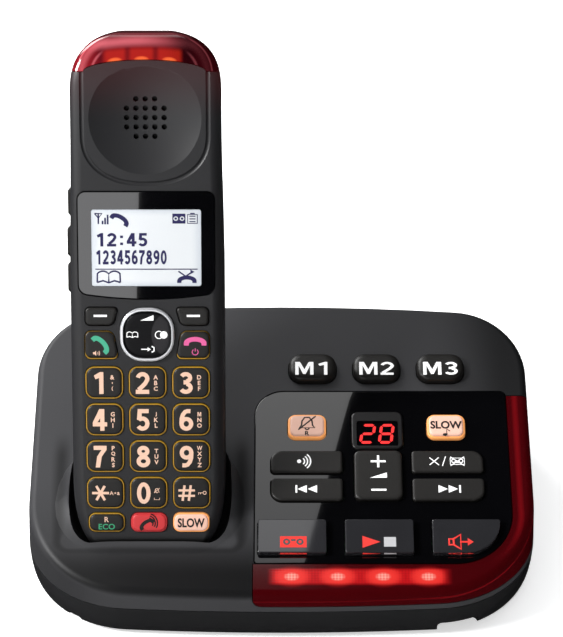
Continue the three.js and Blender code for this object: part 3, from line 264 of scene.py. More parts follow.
class Wire:
    """A value on its way through a material's nodes."""

    def __init__(self, finish, socket):
        self.finish = finish
        self.socket = socket

    def _maths(self, operation, first, second):
        return self.finish.node("Math", {"operation": operation}, first, second)

    def __add__(self, other):
        return self._maths("ADD", self, other)

    def __radd__(self, other):
        return self._maths("ADD", other, self)

    def __sub__(self, other):
        return self._maths("SUBTRACT", self, other)

    def __rsub__(self, other):
        return self._maths("SUBTRACT", other, self)

    def __mul__(self, other):
        return self._maths("MULTIPLY", self, other)

    def __rmul__(self, other):
        return self._maths("MULTIPLY", other, self)

    def __truediv__(self, other):
        return self._maths("DIVIDE", self, other)

    def __pow__(self, other):
        return self._maths("POWER", self, other)

    def __abs__(self):
        return self.finish.node("Math", {"operation": "ABSOLUTE"}, self)

    def sine(self):
        return self.finish.node("Math", {"operation": "SINE"}, self)

    def larger(self, other):
        return self._maths("MAXIMUM", self, other)

    def smaller(self, other):
        return self._maths("MINIMUM", self, other)

    def ramp(self, low, high):
        """0 below low, 1 above high and smooth between them."""
        settings = {"interpolation_type": "SMOOTHSTEP"}
        return self.finish.node("MapRange", settings, self, low, high, 0.0, 1.0)

    def hump(self, centre, reach):
        """1 at the centre, falling smoothly to 0 at the reach."""
        return 1 - (abs(self - centre) / reach).ramp(0, 1)


class Finish:
    """A material under construction."""

    def __init__(self, name, **constants):
        self.material = bpy.data.materials.new(name)
        self.material.use_nodes = True
        self.tree = self.material.node_tree
        self.shader = self.tree.nodes["Principled BSDF"]
        for socket, value in constants.items():
            self.shader.inputs[socket.replace("_", " ")].default_value = value

    def node(self, kind, settings=None, *values, output=0, **named):
        made = self.tree.nodes.new("ShaderNode" + kind)
        for key, value in (settings or {}).items():
            setattr(made, key, value)
        for index, value in enumerate(values):
            self._feed(made.inputs[index], value)
        for key, value in named.items():
            self._feed(made.inputs[key.replace("_", " ")], value)
        return Wire(self, made.outputs[output])

    def _feed(self, socket, value):
        if isinstance(value, Wire):
            self.tree.links.new(value.socket, socket)
        elif value is not None:
            socket.default_value = value

    def set(self, **wires):
        for socket, value in wires.items():
            self._feed(self.shader.inputs[socket.replace("_", " ")], value)
        return self

    def place(self, placing_matrix=None):
        """Object coordinates in millimetres, in the frame of a sloping face where one is given."""
        spot = self.node("TexCoord", output="Object")
        matrix = placing_matrix.inverted() if placing_matrix else WORLD
        turned = [self.node("VectorMath", {"operation": "DOT_PRODUCT"}, spot, tuple(row[:3]), output="Value") for row in matrix]
        return [1000 * (turned[axis] + matrix[axis][3]) for axis in range(3)]

    def noise(self, scale, detail=2.0, roughness=0.5):
        spot = self.node("TexCoord", output="Object")
        return self.node("TexNoise", None, Vector=spot, Scale=scale, Detail=detail, Roughness=roughness, output="Fac")

    def mix(self, share, first, second):
        made = self.tree.nodes.new("ShaderNodeMix")
        made.data_type = "RGBA"
        self._feed(made.inputs[0], share)
        self._feed(made.inputs[6], first)
        self._feed(made.inputs[7], second)
        return Wire(self, made.outputs[2])

    def bump(self, height, strength, distance):
        self.set(Normal=self.node("Bump", None, Strength=strength, Distance=distance, Height=height, output="Normal"))
        return self


def rgb(text, alpha=1.0):
    """Linear colour from a screen colour such as 2e2e30."""
    channels = [int(text[i:i + 2], 16) / 255 for i in (0, 2, 4)]
    return tuple(c / 12.92 if c <= 0.04045 else ((c + 0.055) / 1.055) ** 2.4 for c in channels) + (alpha,)


def moulded(name, color, lighter, roughness, grain=0.12, glow=0.0):
    """Matt moulded plastic: fine spark-eroded grain and a slow drift of shade. Translucent kinds get a little painted
    glow.
    """
    finish = Finish(name, Emission_Strength=glow)
    fine = finish.noise(2600, 3, 0.6)
    drift = finish.noise(22, 2)
    shade_color = finish.mix(0.35 * fine + 0.5 * drift, rgb(color), rgb(lighter))
    finish.set(Base_Color=shade_color, Roughness=roughness - 0.06 + 0.12 * fine)
    if glow:
        finish.set(Emission_Color=shade_color)
    return finish.bump(fine, grain, 0.00006).material


def polished(name, color, lighter, roughness, coat=0.6):
    """Polished plastic with a faint swirl and dust-fine changes of gloss."""
    finish = Finish(name, Coat_Weight=coat, Coat_Roughness=0.03)
    drift = finish.noise(60, 3)
    finish.set(
        Base_Color=finish.mix(drift, rgb(color), rgb(lighter)),
        Roughness=roughness + 0.006 * drift,
    )
    return finish.bump(finish.noise(9, 1), 0.012, 0.0002).material


def ink(name, color, glow=0.0):
    """Printed legend: slightly uneven ink with a soft sheen. A glow makes the ink shine by itself."""
    shade_color = rgb(color)
    finish = Finish(name, Emission_Strength=glow)
    speck = finish.noise(4200, 2)
    darker = tuple(0.86 * c for c in shade_color[:3]) + (1,)
    finish.set(Base_Color=finish.mix(speck, darker, shade_color), Roughness=0.42 + 0.1 * speck)
    if glow:
        finish.set(Emission_Color=finish.mix(speck, darker, shade_color))
    return finish.material


def plated(name, color, roughness, metallic=1.0):
    finish = Finish(name, Metallic=metallic)
    speck = finish.noise(900, 3)
    bright = rgb(color)
    finish.set(
        Base_Color=finish.mix(speck, tuple(0.85 * c for c in bright[:3]) + (1,), bright),
        Roughness=roughness + 0.08 * speck,
    )
    return finish.material


def base_lens():
    """Deep red light bar along the deck's front: four lamps shine through its ribbed inside. A highlight stripe and a
    crease highlight are painted on it.
    """
    finish = Finish("base_lens", Roughness=0.1, Coat_Weight=0.4, Coat_Roughness=0.03, Emission_Strength=1.0)
    x, t, n = finish.place(DECK)
    # Distance outwards from the control panel's edge, round its swept corner too
    across, down = (x - 58.8).larger(0), (30.2 - t).larger(0)
    out = (across ** 2 + down ** 2) ** 0.5 - 20
    lamps, cores = None, None
    for lamp in (3.4, 18.9, 34.2, 49.4):
        away = ((x - lamp) / 7.4) ** 2 + ((t - 5.2) / 4.6) ** 2
        shine, core = 1 - away.ramp(0, 1), 1 - away.ramp(0, 0.16)
        lamps = shine if lamps is None else lamps.larger(shine)
        cores = core if cores is None else cores.larger(core)
    ends = x.ramp(-5.2, -1.4) * (1 - x.ramp(53, 58))
    band = ends * t.ramp(1.6, 3.2) * (1 - t.ramp(7.2, 8.8))
    grid = 0.5 + 0.25 * (x * (2 * math.pi / 1.05)).sine() + 0.25 * (t * (2 * math.pi / 0.95)).sine()
    depth = finish.noise(30, 2)
    # Painted highlights: a brighter red stripe round the control panel's edge and a line along the crease, in both the
    # colour and the faint glow.
    stripe_highlight = out.hump(3.1, 1.6) * t.ramp(8, 30)
    crease_highlight = n.hump(-2.4, 0.5) * (0.3 + 0.7 * x.ramp(40, 62))
    red = finish.mix(0.4 * depth, rgb("360205"), rgb("4c0408"))
    red = finish.mix((0.25 * stripe_highlight + 0.35 * crease_highlight).smaller(1), red, rgb("9a1118"))
    lit = finish.mix(lamps, rgb("cc181c"), rgb("f03c34"))
    lit = finish.mix((cores * (0.2 + 0.9 * grid)).smaller(1), lit, rgb("ffb8a8"))
    glow = 0.92 * band * (0.7 + 0.3 * grid) + 0.45 * ends * lamps
    dim = finish.mix((0.3 * stripe_highlight + 0.3 * crease_highlight).smaller(1), rgb("0c0001"), rgb("4a0408"))
    finish.set(Base_Color=red, Emission_Color=finish.mix(glow.smaller(1), dim, lit))
    return finish.bump(grid * band, 0.12, 0.0001).material


def alert_lens():
    """Red window over the crown, with three lamps behind its lower edge, and painted highlights and shade on its face.
    """
    finish = Finish("alert_lens", Roughness=0.12, Coat_Weight=0.4, Coat_Roughness=0.03, Emission_Strength=1.0)
    u, v, w = finish.place(HANDSET)
    side = abs(u)
    edge = LENS_LEG_V + (LENS_MIDDLE_V - LENS_LEG_V) * (1 - (side / LENS_LEG_INNER).smaller(1) ** 2) ** 0.5
    above = v - edge
    # Share of the way out to the crown's own outline
    out = ((side / 24) ** 2.6 + ((v - 164).larger(0) / 17.2) ** 2.6) ** (1 / 2.6)
    lamps = None
    for lamp in (-9.8, -1.0, 8.2):
        shine = 1 - (((u - lamp) / 2.8) ** 2 + ((above - 0.1) / 1.2) ** 2).ramp(0, 1)
        lamps = shine if lamps is None else lamps.larger(shine)
    band = (1 - above.ramp(2.6, 4.9)) * u.ramp(-14.5, -12.0) * (1 - u.ramp(11, 13))
    parted = 1 - 0.7 * (u.hump(-5.6, 1.7) + u.hump(3.6, 1.7)).smaller(1)
    # Painted light: left weights the painted highlights towards the lens's left side.
    left = 1 - 0.92 * u.ramp(-4, 15)
    # Painted highlights: a sheen band above the lamps and curved streaks on the legs, brightening both the colour and
    # the glow.
    sheen = (0.8 * above.hump(5.9, 2.5) * (1 - side.ramp(12, 20)) + 0.55 * out.hump(0.87, 0.08) * side.ramp(10, 18)).smaller(1) * left
    streak_highlights = (out.hump(0.93, 0.018) + 0.8 * out.hump(0.74, 0.03)).smaller(1) * side.ramp(13, 16) * (0.25 + 0.75 * left)
    top = above.ramp(7.6, 8.4) * (1 - side.ramp(15, 19))
    red = finish.mix(finish.noise(40, 2), rgb("4c080f"), rgb("60101a"))
    # Painted shade: the right side darkens.
    red = finish.mix(u.ramp(5, 14), red, rgb("1a0104"))
    red = finish.mix(top, red, rgb("5a2a2e"))
    red = finish.mix((0.75 * sheen + 0.6 * streak_highlights).smaller(1), red, rgb("bc6068"))
    glow = 0.8 * band * parted + 0.6 * lamps
    lit = finish.mix(lamps, rgb("b02412"), rgb("fa7038"))
    dim = finish.mix((0.7 * sheen + 0.5 * streak_highlights).smaller(1), rgb("180204"), rgb("943a44"))
    # Painted glow on the legs, mostly on the left.
    dim = finish.mix(0.4 * side.ramp(14, 18) * (1 - top) * left, dim, rgb("a02028"))
    finish.set(Base_Color=red, Emission_Color=finish.mix(glow.smaller(1), dim, lit))
    return finish.material


def front_skin():
    """The shells' plastic, with a painted red glow from the alert lens near the crown and painted shade at the foot."""
    finish = Finish("housing_front", Emission_Strength=0.1)
    fine, (u, v, w) = finish.noise(2600, 3, 0.6), finish.place(HANDSET)
    shade_color = finish.mix(0.35 * fine + 0.5 * finish.noise(22, 2), rgb("1b1b1d"), rgb("272729"))
    # Painted shade: the plastic turns near black below v 10, where the foot sinks into the cradle.
    shade_color = finish.mix(v.ramp(7.8, 10), rgb("040404"), shade_color)
    # Painted light: a faint red glow towards the crown, for the alert lens's light falling on the shell.
    painted_red_glow = finish.mix(v.ramp(150, 170), rgb("000000"), rgb("8a1c20"))
    finish.set(Base_Color=shade_color, Roughness=0.4 + 0.12 * fine, Emission_Color=painted_red_glow)
    return finish.bump(fine, 0.12, 0.00006).material


def deck_skin():
    """The shells' plastic on the base's upper half, with painted shade round the cradle, along the deck's front,
    towards its right side and at its left front.
    """
    finish = Finish("housing_deck", Specular_IOR_Level=0.22)
    fine, (x, t, n) = finish.noise(2600, 3, 0.6), finish.place(DECK)
    # Painted shade: deep is a mask that darkens the fillet round the cradle, the deck's front, its right side and its
    # left front; the cradle's front lip is left lit.
    across = (abs(x - HANDSET_X) - CRADLE["half"]).larger(0)
    ring = (across ** 2 + (CRADLE["front"] - t).larger(0) ** 2) ** 0.5
    foot = CRADLE["lip"] + CRADLE["foot"]
    fillet_shade = ring.hump(0.75 * foot, 0.75 * foot) * (1 - t.ramp(CRADLE["back"] - 6, CRADLE["back"] + 6))
    front = 1 - t.ramp(5, 27)
    deep = (0.95 * front).larger(0.7 * fillet_shade).larger(0.85 * x.ramp(52, 80)) * n.ramp(-2.2, -0.6)
    deep = deep * (1 - (1 - ring.ramp(1.4, 3.6)) * (CRADLE["front"] + 3 - t).ramp(0, 3))
    deep = deep.larger(0.45 * (1 - t.ramp(0, 50)) * (1 - x.ramp(-75, -50)))
    shade_color = finish.mix(0.35 * fine + 0.5 * finish.noise(22, 2), rgb("343436"), rgb("3e3e40"))
    finish.set(Base_Color=finish.mix(deep, shade_color, rgb("060607")), Roughness=0.4 + 0.12 * fine)
    return finish.bump(fine, 0.12, 0.00006).material


def nav_face():
    """Black cap with a painted reflection: a paler crescent on its right, which is also a little rougher."""
    finish = Finish("nav_face", Specular_IOR_Level=0.15)
    u, v, w = finish.place(HANDSET)
    # Painted reflection: a paler, rougher crescent on the cap's right side.
    reflection_crescent = 1 - (((u - 10) ** 2 + (v - NAV["v"]) ** 2) ** 0.5).ramp(8.4, 8.7)
    fine = finish.noise(2600, 3, 0.6)
    plain = finish.mix(fine, rgb("070709"), rgb("0f0f11"))
    finish.set(Base_Color=finish.mix(reflection_crescent, plain, rgb("2b2a2c")), Roughness=0.3 + 0.15 * reflection_crescent)
    return finish.bump(fine, 0.05, 0.00006).material


def display_glass():
    """Pale backlit liquid crystal, a little brighter in its middle."""
    finish = Finish("display_glass", Roughness=0.2, Coat_Weight=0.4, Coat_Roughness=0.05, Emission_Strength=0.1)
    u, v, w = finish.place(HANDSET)
    fall = (abs(u) / LCD_HALF).larger(abs(v - (LCD_BOTTOM + LCD_TOP) / 2) / ((LCD_TOP - LCD_BOTTOM) / 2)).ramp(0.8, 1.05)
    dots = finish.noise(3000, 1)
    pale = finish.mix(0.15 * dots + 0.6 * fall, rgb("ced1d3"), rgb("a8b0ba"))
    finish.set(Base_Color=pale, Emission_Color=pale)
    return finish.material


def circuit_board():
    finish = Finish("circuit_board")
    tracks = finish.node("TexVoronoi", {"feature": "DISTANCE_TO_EDGE"}, Vector=finish.node("TexCoord", output="Object"), Scale=260.0, output="Distance")
    copper = 1 - tracks.ramp(0.04, 0.08)
    finish.set(Base_Color=finish.mix(copper, rgb("0e3a20"), rgb("2a6a3a")), Roughness=0.45 - 0.1 * copper)
    return finish.bump(copper, 0.2, 0.00004).material


housing = moulded("housing", "1b1b1d", "272729", 0.46)
housing_front = front_skin()
housing_deck = deck_skin()
nav_black = nav_face()
housing_low = moulded("housing_low", "1a1a1b", "242426", 0.42)
gloss = polished("gloss", "040405", "08080a", 0.004)
clear_cap = polished("clear_cap", "232325", "2c2c2f", 0.03, 1.0)
key_black = moulded("key_black", "141312", "1f1d1b", 0.42, 0.08)
bezel_black = moulded("bezel_black", "0c0b0c", "141314", 0.3, 0.04)
# Painted glow: the peach and red keys shine a little by themselves.
peach_key = moulded("peach_key", "e0ae9a", "e8bfac", 0.42, 0.08, 0.12)
peach_side = moulded("peach_side", "de8f4e", "f0a45f", 0.4, 0.08, 0.45)
red_key = moulded("red_key", "b82228", "cc3a3c", 0.4, 0.08, 0.06)
amber = moulded("amber", "8a6414", "c69a24", 0.3, 0.05)
chrome = plated("chrome", "dcdde0", 0.16, 0.55)
contact_metal = plated("contact_metal", "b8ab8c", 0.25)
steel = plated("steel", "9a9a9c", 0.35)
sleeve = polished("sleeve", "1c4a80", "2c64a6", 0.3)
silicone = moulded("silicone", "2a2a2e", "3a3a3e", 0.75)
socket_black = moulded("socket_black", "0e0e10", "1a1a1c", 0.5)
lens_red = base_lens()
alert_red = alert_lens()
lcd_pale = display_glass()
board_green = circuit_board()
# Painted glow: printed inks given a glow shine by themselves; only digit_red, the message display's figures, stands for
# lamp light.
ink_peach = ink("ink_peach", "dfb8a0", 0.1)
ink_white = ink("ink_white", "f6f6f6", 0.3)
ink_green = ink("ink_green", "3d9f7e", 0.15)
ink_pink = ink("ink_pink", "d85a94", 0.06)
ink_black = ink("ink_black", "141414")
ink_grey = ink("ink_grey", "bababc", 0.1)
ink_red = ink("ink_red", "dc2c24", 0.4)
ink_navy = ink("ink_navy", "1b1650")
ink_eco = ink("ink_eco", "2f9066", 0.15)
digit_red = ink("digit_red", "e01c1c", 0.85)


def dress(obj, *finishes):
    obj.data.materials.clear()
    for finish in finishes:
        obj.data.materials.append(finish)
    return obj


def finished(obj, body, finish, stands_for=(), angle=32, smooth=True):
    """Shades, dresses and seats a piece on its body."""
    if smooth:
        shade(obj, angle)
    only(obj)
    dress(obj, finish)
    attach(obj, body)
    if stands_for:
        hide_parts(*stands_for)
    return obj


# ---- camera, lights and floor

def studio():
    camera_data = bpy.data.cameras.new("camera")
    camera_data.lens = 142.5
    camera_data.sensor_fit = "VERTICAL"
    camera_data.sensor_height = 36
    camera = bpy.data.objects.new("camera", camera_data)
    bpy.context.scene.collection.objects.link(camera)
    elevation = math.radians(40)
    target = MM * Vector((0, 44.62, 54.8))
    away = 900 * MM * Vector((0, -math.cos(elevation), math.sin(elevation)))
    camera.location = target + away
    camera.rotation_euler = (-away).to_track_quat("-Z", "Y").to_euler()
    bpy.context.scene.camera = camera

    def area(name, place, aim, size, watts, mirrored_too=True):
        data = bpy.data.lights.new(name, "AREA")
        data.shape = "RECTANGLE"
        data.size, data.size_y = size
        data.energy = watts
        lamp = bpy.data.objects.new(name, data)
        bpy.context.scene.collection.objects.link(lamp)
        lamp.location = place
        lamp.rotation_euler = (Vector(aim) - Vector(place)).to_track_quat("-Z", "Y").to_euler()
        lamp.visible_glossy = mirrored_too

    area("top_softbox", (0.0, 0.3, 1.1), (0, 0, 0.05), (1.6, 1.2), 6.5, False)
    area("back_softbox", (-0.42, 0.5, 0.55), (-0.06, 0.03, 0.02), (0.45, 0.45), 5)
    area("face_softbox", (-0.66, -0.17, 0.58), (-0.045, 0.03, 0.12), (0.24, 0.24), 8.6)
    area("front_softbox", (-0.5, -1.0, 0.4), (-0.04, 0, 0.06), (0.5, 0.5), 1.6)
    area("right_strip", (1.1, -0.1, 0.6), (0, 0, 0.06), (0.3, 0.9), 1, False)

    def card(name, corners, glow):
        """Flat screen that only mirror images show: black where glow is 0, a lit card above that."""
        bpy.ops.mesh.primitive_plane_add(size=1)
        screen = bpy.context.object
        screen.name = name
        for vertex, corner in zip(screen.data.vertices, (corners[0], corners[1], corners[3], corners[2])):
            vertex.co = corner
        cloth = Finish(name, Base_Color=(0, 0, 0, 1), Roughness=1.0, Specular_IOR_Level=0.0)
        cloth.shader.inputs["Emission Strength"].default_value = glow
        across, deep, up = cloth.place()
        cloth.set(Emission_Color=cloth.mix((deep + up).ramp(1220, 1560), (0.5, 0.5, 0.51, 1), (1, 1, 1, 1)))
        dress(screen, cloth.material)
        for kind in ("camera", "diffuse", "transmission", "volume_scatter", "shadow"):
            setattr(screen, "visible_" + kind, False)

    wide, near, far, top = 1.6, -1.3, 1.7, 1.15
    card("floor_flag", ((-wide, near, 0.0002), (wide, near, 0.0002), (wide, far, 0.0002), (-wide, far, 0.0002)), 0.0)
    card("ceiling", ((-wide, near, top), (wide, near, top), (wide, far, top), (-wide, far, top)), 0.0)
    card("front_flag", ((-wide, near, 0), (wide, near, 0), (wide, near, top), (-wide, near, top)), 0.0)
    card("back_flag", ((-wide, far, 0), (wide, far, 0), (wide, far, top), (-wide, far, top)), 0.0)
    for side, name in ((-wide, "left_flag"), (wide, "right_flag")):
        card(name, ((side, near, 0), (side, far, 0), (side, far, top), (side, near, top)), 0.0)
    # The slanted right edge of this card is what divides the control panel's sheen
    card("ceiling_card", ((-0.35, 0.2145, 1.1), (0.0177, 0.2145, 1.1), (0.0948, 0.5, 1.1), (-0.35, 0.5, 1.1)), 1.9)
    card("window_card", ((-0.3, -1.0, 0.3), (-0.109, -1.0, 0.3), (-0.109, -1.0, 0.7), (-0.3, -1.0, 0.7)), 5.0)

    world = bpy.data.worlds.new("studio")
    bpy.context.scene.world = world
    world.use_nodes = True
    nodes, links = world.node_tree.nodes, world.node_tree.links
    background = nodes["Background"]
    path = nodes.new("ShaderNodeLightPath")
    white = nodes.new("ShaderNodeBackground")
    white.inputs["Color"].default_value = (1, 1, 1, 1)
    white.inputs["Strength"].default_value = 1.0
    background.inputs["Color"].default_value = (0.8, 0.82, 0.85, 1)
    background.inputs["Strength"].default_value = 0.22
    seen = path.outputs["Is Camera Ray"]
    for other in ("Is Glossy Ray", "Is Transmission Ray"):
        either = nodes.new("ShaderNodeMath")
        either.operation = "MAXIMUM"
        links.new(seen, either.inputs[0])
        links.new(path.outputs[other], either.inputs[1])
        seen = either.outputs[0]
    mix = nodes.new("ShaderNodeMixShader")
    links.new(seen, mix.inputs[0])
    links.new(background.outputs[0], mix.inputs[1])
    links.new(white.outputs[0], mix.inputs[2])
    links.new(mix.outputs[0], nodes["World Output"].inputs[0])

    bpy.ops.mesh.primitive_plane_add(size=6, location=(0, 0, -0.0003))
    floor = bpy.context.object
    floor.name = "floor"
    paper = Finish("paper", Roughness=0.9, Emission_Strength=0.55)
    grain = paper.noise(180, 2)
    white_paper = paper.mix(grain, rgb("fafafa"), rgb("fefefe"))
    paper.set(Base_Color=white_paper, Emission_Color=white_paper)
    dress(floor, paper.material)
    bpy.context.scene.view_settings.view_transform = "Standard"


studio()


# ---- the handset's form, swept from its foot to its crown

def rounded_share(share):
    return (1 - share ** ROUND_POWER) ** (1 / ROUND_POWER)


def ease(value, low, high):
    share = min(max((value - low) / (high - low), 0), 1)
    return share * share * (3 - 2 * share)


def fall_away(share):
    return 1 - math.sqrt(1 - (BLUNT_SHARE * max(0, share)) ** 2)


def blend(first, second, share):
    return first + (second - first) * share


def handset_half(v):
    width = blend(GRIP_WIDTH, HEAD_WIDTH, ease(v, GRIP_END, HEAD_START))
    footward = BLUNT_SHARE * max(0, 1 - v / FOOT_ROUND)
    crownward = BLUNT_SHARE * max(0, 1 - (LENGTH - v) / CROWN_ROUND)
    return width / 2 * rounded_share(footward) * rounded_share(crownward)


def handset_face(v):
    crown = CROWN_DROP * fall_away(1 - (LENGTH - v) / CROWN_DROP_LENGTH)
    return -FOOT_DROP * fall_away(1 - v / FOOT_DROP_LENGTH) - crown


def handset_back(v):
    depth = blend(GRIP_DEPTH, HEAD_DEPTH, ease(v, NECK_START, HEAD_START))
    crown = CROWN_LIFT * fall_away(1 - (LENGTH - v) / CROWN_ROUND)
    return -depth + FOOT_LIFT * fall_away(1 - v / FOOT_ROUND) + crown


def handset_stations():
    foot = [FOOT_ROUND * (1 - math.sin(math.pi / 2 * (1 - i / 18))) for i in range(18)]
    grip = [blend(FOOT_ROUND, LENGTH - CROWN_ROUND, i / 26) for i in range(26)]
    crown = [LENGTH - CROWN_ROUND * (1 - math.sin(math.pi / 2 * (1 - i / 20))) for i in range(20, -1, -1)]
    return foot + grip + crown


def handset_body(name, grow_at=lambda v: 0.0):
    """The handset's outer form, moved out by grow_at(v). Its end face is extruded from station to station."""
    stations = handset_stations()

    def section(v):
        grow = grow_at(v)
        half = handset_half(v) + grow
        face, back = handset_face(v) + grow, handset_back(v) - grow
        return half, (face + back) / 2, (face - back) / 2, blend(-grow, LENGTH + grow, v / LENGTH)

    widest = stations[len(stations) // 2]
    half, middle, thick, _ = section(widest)
    bpy.ops.mesh.primitive_plane_add(size=2, rotation=(math.pi / 2, 0, 0))
    obj = bpy.context.object
    obj.name = name
    only(obj)
    bpy.ops.object.transform_apply(location=True, rotation=True, scale=True)
    for vertex in obj.data.vertices:
        vertex.co = Vector((vertex.co.x * half, 0, vertex.co.z * thick)) * MM
    grow = grow_at(widest)
    for sign, radius in ((1, FRONT_EDGE + grow), (-1, BACK_EDGE + grow)):
        pick(obj, "VERT", lambda vertex: vertex.co.z * sign > 0.99 * thick * MM)
        bpy.ops.mesh.bevel(offset=radius * MM, segments=8, affect="VERTICES")
    first = section(stations[0])
    pick(obj, "VERT", lambda vertex: True)
    bpy.ops.transform.resize(value=(first[0] / half, 1, first[2] / thick), center_override=(0, 0, 0))
    bpy.ops.transform.translate(value=(0, first[3] * MM, first[1] * MM))
    pick(obj, "FACE", lambda face: True)
    last = first
    for v in stations[1:]:
        now = section(v)
        bpy.ops.mesh.extrude_region_move(
            TRANSFORM_OT_translate={"value": (0, (now[3] - last[3]) * MM, (now[1] - last[1]) * MM)})
        bpy.ops.transform.resize(
            value=(now[0] / last[0], 1, now[2] / last[2]), center_override=(0, now[3] * MM, now[1] * MM))
        last = now
    outward(obj)
    return obj


def cradle_grow(v):
    share = min(max(v / CRADLE["scoop_end"], 0), 1)
    return CRADLE["clearance"] + CRADLE["scoop"] * math.sin(math.pi * share)



def box_tool(low, high):
    """Block for cutting, between two corners."""
    middle = [(a + b) / 2 * MM for a, b in zip(low, high)]
    bpy.ops.mesh.primitive_cube_add(size=1, location=middle)
    obj = bpy.context.object
    obj.scale = [(b - a) * MM for a, b in zip(low, high)]
    only(obj)
    bpy.ops.object.transform_apply(location=True, rotation=False, scale=True)
    return obj


def chain(name, points):
    """Line of points, drawn by extruding one vertex after another."""
    bpy.ops.mesh.primitive_plane_add(size=1)
    obj = bpy.context.object
    obj.name = name
    only(obj)
    bpy.ops.object.mode_set(mode="EDIT")
    bpy.ops.mesh.select_mode(type="VERT")
    bpy.ops.mesh.select_all(action="SELECT")
    bpy.ops.mesh.merge(type="CENTER")
    bpy.ops.transform.translate(value=MM * Vector(points[0]))
    for last, now in zip(points, points[1:]):
        bpy.ops.mesh.extrude_vertices_move(TRANSFORM_OT_translate={"value": MM * (Vector(now) - Vector(last))})
    bpy.ops.mesh.select_all(action="SELECT")
    return obj


def drawn(name, outline, low, high):
    """Slab on an outline of any shape, between two levels."""
    obj = chain(name, [(x, y, low) for x, y in outline])
    bpy.ops.mesh.edge_face_add()
    bpy.ops.mesh.extrude_region_move(TRANSFORM_OT_translate={"value": (0, 0, (high - low) * MM)})
    bpy.ops.object.mode_set(mode="OBJECT")
    outward(obj)
    return obj


def turned(name, profile, sides=64):
    """Turned form round the Z axis, from a profile of (radius, level) pairs."""
    obj = chain(name, [(radius, 0, level) for radius, level in profile])
    bpy.ops.mesh.spin(steps=sides, angle=2 * math.pi, center=(0, 0, 0), axis=(0, 0, 1))
    bpy.ops.object.mode_set(mode="OBJECT")
    outward(obj)
    return obj


def shifted(obj, x, y, z=0):
    return settle(obj, Matrix.Translation(MM * Vector((x, y, z))))


def arc(x, y, radius, start, end, count):
    turns = [math.radians(blend(start, end, i / count)) for i in range(count + 1)]
    return [(x + radius * math.cos(turn), y + radius * math.sin(turn)) for turn in turns]


def oval(x, y, wide, high, start=0.0, end=360.0, count=20):
    return [(x + wide * a, y + high * b) for a, b in arc(0, 0, 1, start, end, count)]


# ---- handset shells, lens and window

def handset_skin(name):
    return cut(handset_body(name), handset_body("inside", lambda v: -WALL))


def alert_tool(grow):
    side = GRIP_WIDTH
    arch = oval(0, LENS_LEG_V - grow, LENS_LEG_INNER, LENS_MIDDLE_V - LENS_LEG_V, 0, 180, 32)
    outline = [(side, LENS_LEG_V - grow)] + arch
    outline += [(-side, LENS_LEG_V - grow), (-side, LENGTH + 9), (side, LENGTH + 9)]
    return drawn("alert_tool", outline, -LENS_WRAP - grow, 9)


def window_outline(grow=0.0):
    """Display window: round corners above and below, and a foot edge that bows down."""
    half, low, high = WINDOW_HALF + grow, WINDOW_BOTTOM - grow, WINDOW_TOP + grow
    top, bottom, bow = 2.6 + grow, 3.4 + grow, 1.4
    points = arc(half - top, high - top, top, 0, 90, 8) + arc(-half + top, high - top, top, 90, 180, 8)
    points += arc(-half + bottom, low + bottom, bottom, 180, 262, 8)
    points += [(u, low - bow * (1 - (u / (half - bottom)) ** 2)) for u in
               [blend(-half + bottom + 1, half - bottom - 1, i / 12) for i in range(13)]]
    return points + arc(half - bottom, low + bottom, bottom, 278, 360, 8)


def dish_profile(offset=0.0, count=14):
    turns = [math.pi / 2 * i / count for i in range(count + 1)]
    return [((DISH_RADIUS + offset) * math.sin(a), -DISH_DEPTH * math.cos(a) ** 2 - offset) for a in turns]


def sound_holes():
    holes = []
    for row in range(-2, 3):
        for column in range(-2, 3):
            if abs(row) == 2 and abs(column) == 2:
                continue
            profile = [(0, -9), (HOLE_RADIUS, -9), (HOLE_RADIUS, 4), (0, 4)]
            holes.append(shifted(turned("hole", profile, 14), column * HOLE_PITCH, DISH_V + row * HOLE_PITCH))
    return joined("sound_holes", holes)


SOFT_CORNERS = (
    (-SOFT_KEY["outer"], SOFT_KEY["bottom"]), (-SOFT_KEY["inner_bottom"], SOFT_KEY["bottom"]),
    (-SOFT_KEY["inner_top"], SOFT_KEY["top"]), (-SOFT_KEY["outer"], SOFT_KEY["top"]))
CALL_CORNERS = (
    (-CALL_KEY["outer"], CALL_KEY["bottom"]), (-CALL_KEY["inner_bottom"], CALL_KEY["bottom"]),
    (-CALL_KEY["inner_top"], CALL_KEY["top"]), (-CALL_KEY["outer"], CALL_KEY["top"]))


def mirrored(corners):
    return tuple((-x, y) for x, y in reversed(corners))


NAV_SIZE = NAV["size"] - 2 * (NAV["width"] + GAP)
FACE_KEYS = [
    ("soft_key_left", SOFT_CORNERS, SOFT_KEY), ("soft_key_right", mirrored(SOFT_CORNERS), SOFT_KEY),
    ("talk_key", CALL_CORNERS, CALL_KEY), ("off_key", mirrored(CALL_CORNERS), CALL_KEY),
]
DIGIT_ROWS = (("star", "0", "hash"), ("7", "8", "9"), ("4", "5", "6"), ("1", "2", "3"))
DIGIT_PLACES = {
    digit: ((column - 1) * DIGIT_KEY["pitch_u"], DIGIT_KEY["v"] + row * DIGIT_KEY["pitch_v"])
    for row, digits in enumerate(DIGIT_ROWS) for column, digit in enumerate(digits)}
FOOT_NAMES = ("eco_key", "boost_key", "slow_key")
FOOT_PLACES = {name: ((column - 1) * FOOT_KEY["pitch_u"], FOOT_KEY["v"]) for column, name in enumerate(FOOT_NAMES)}


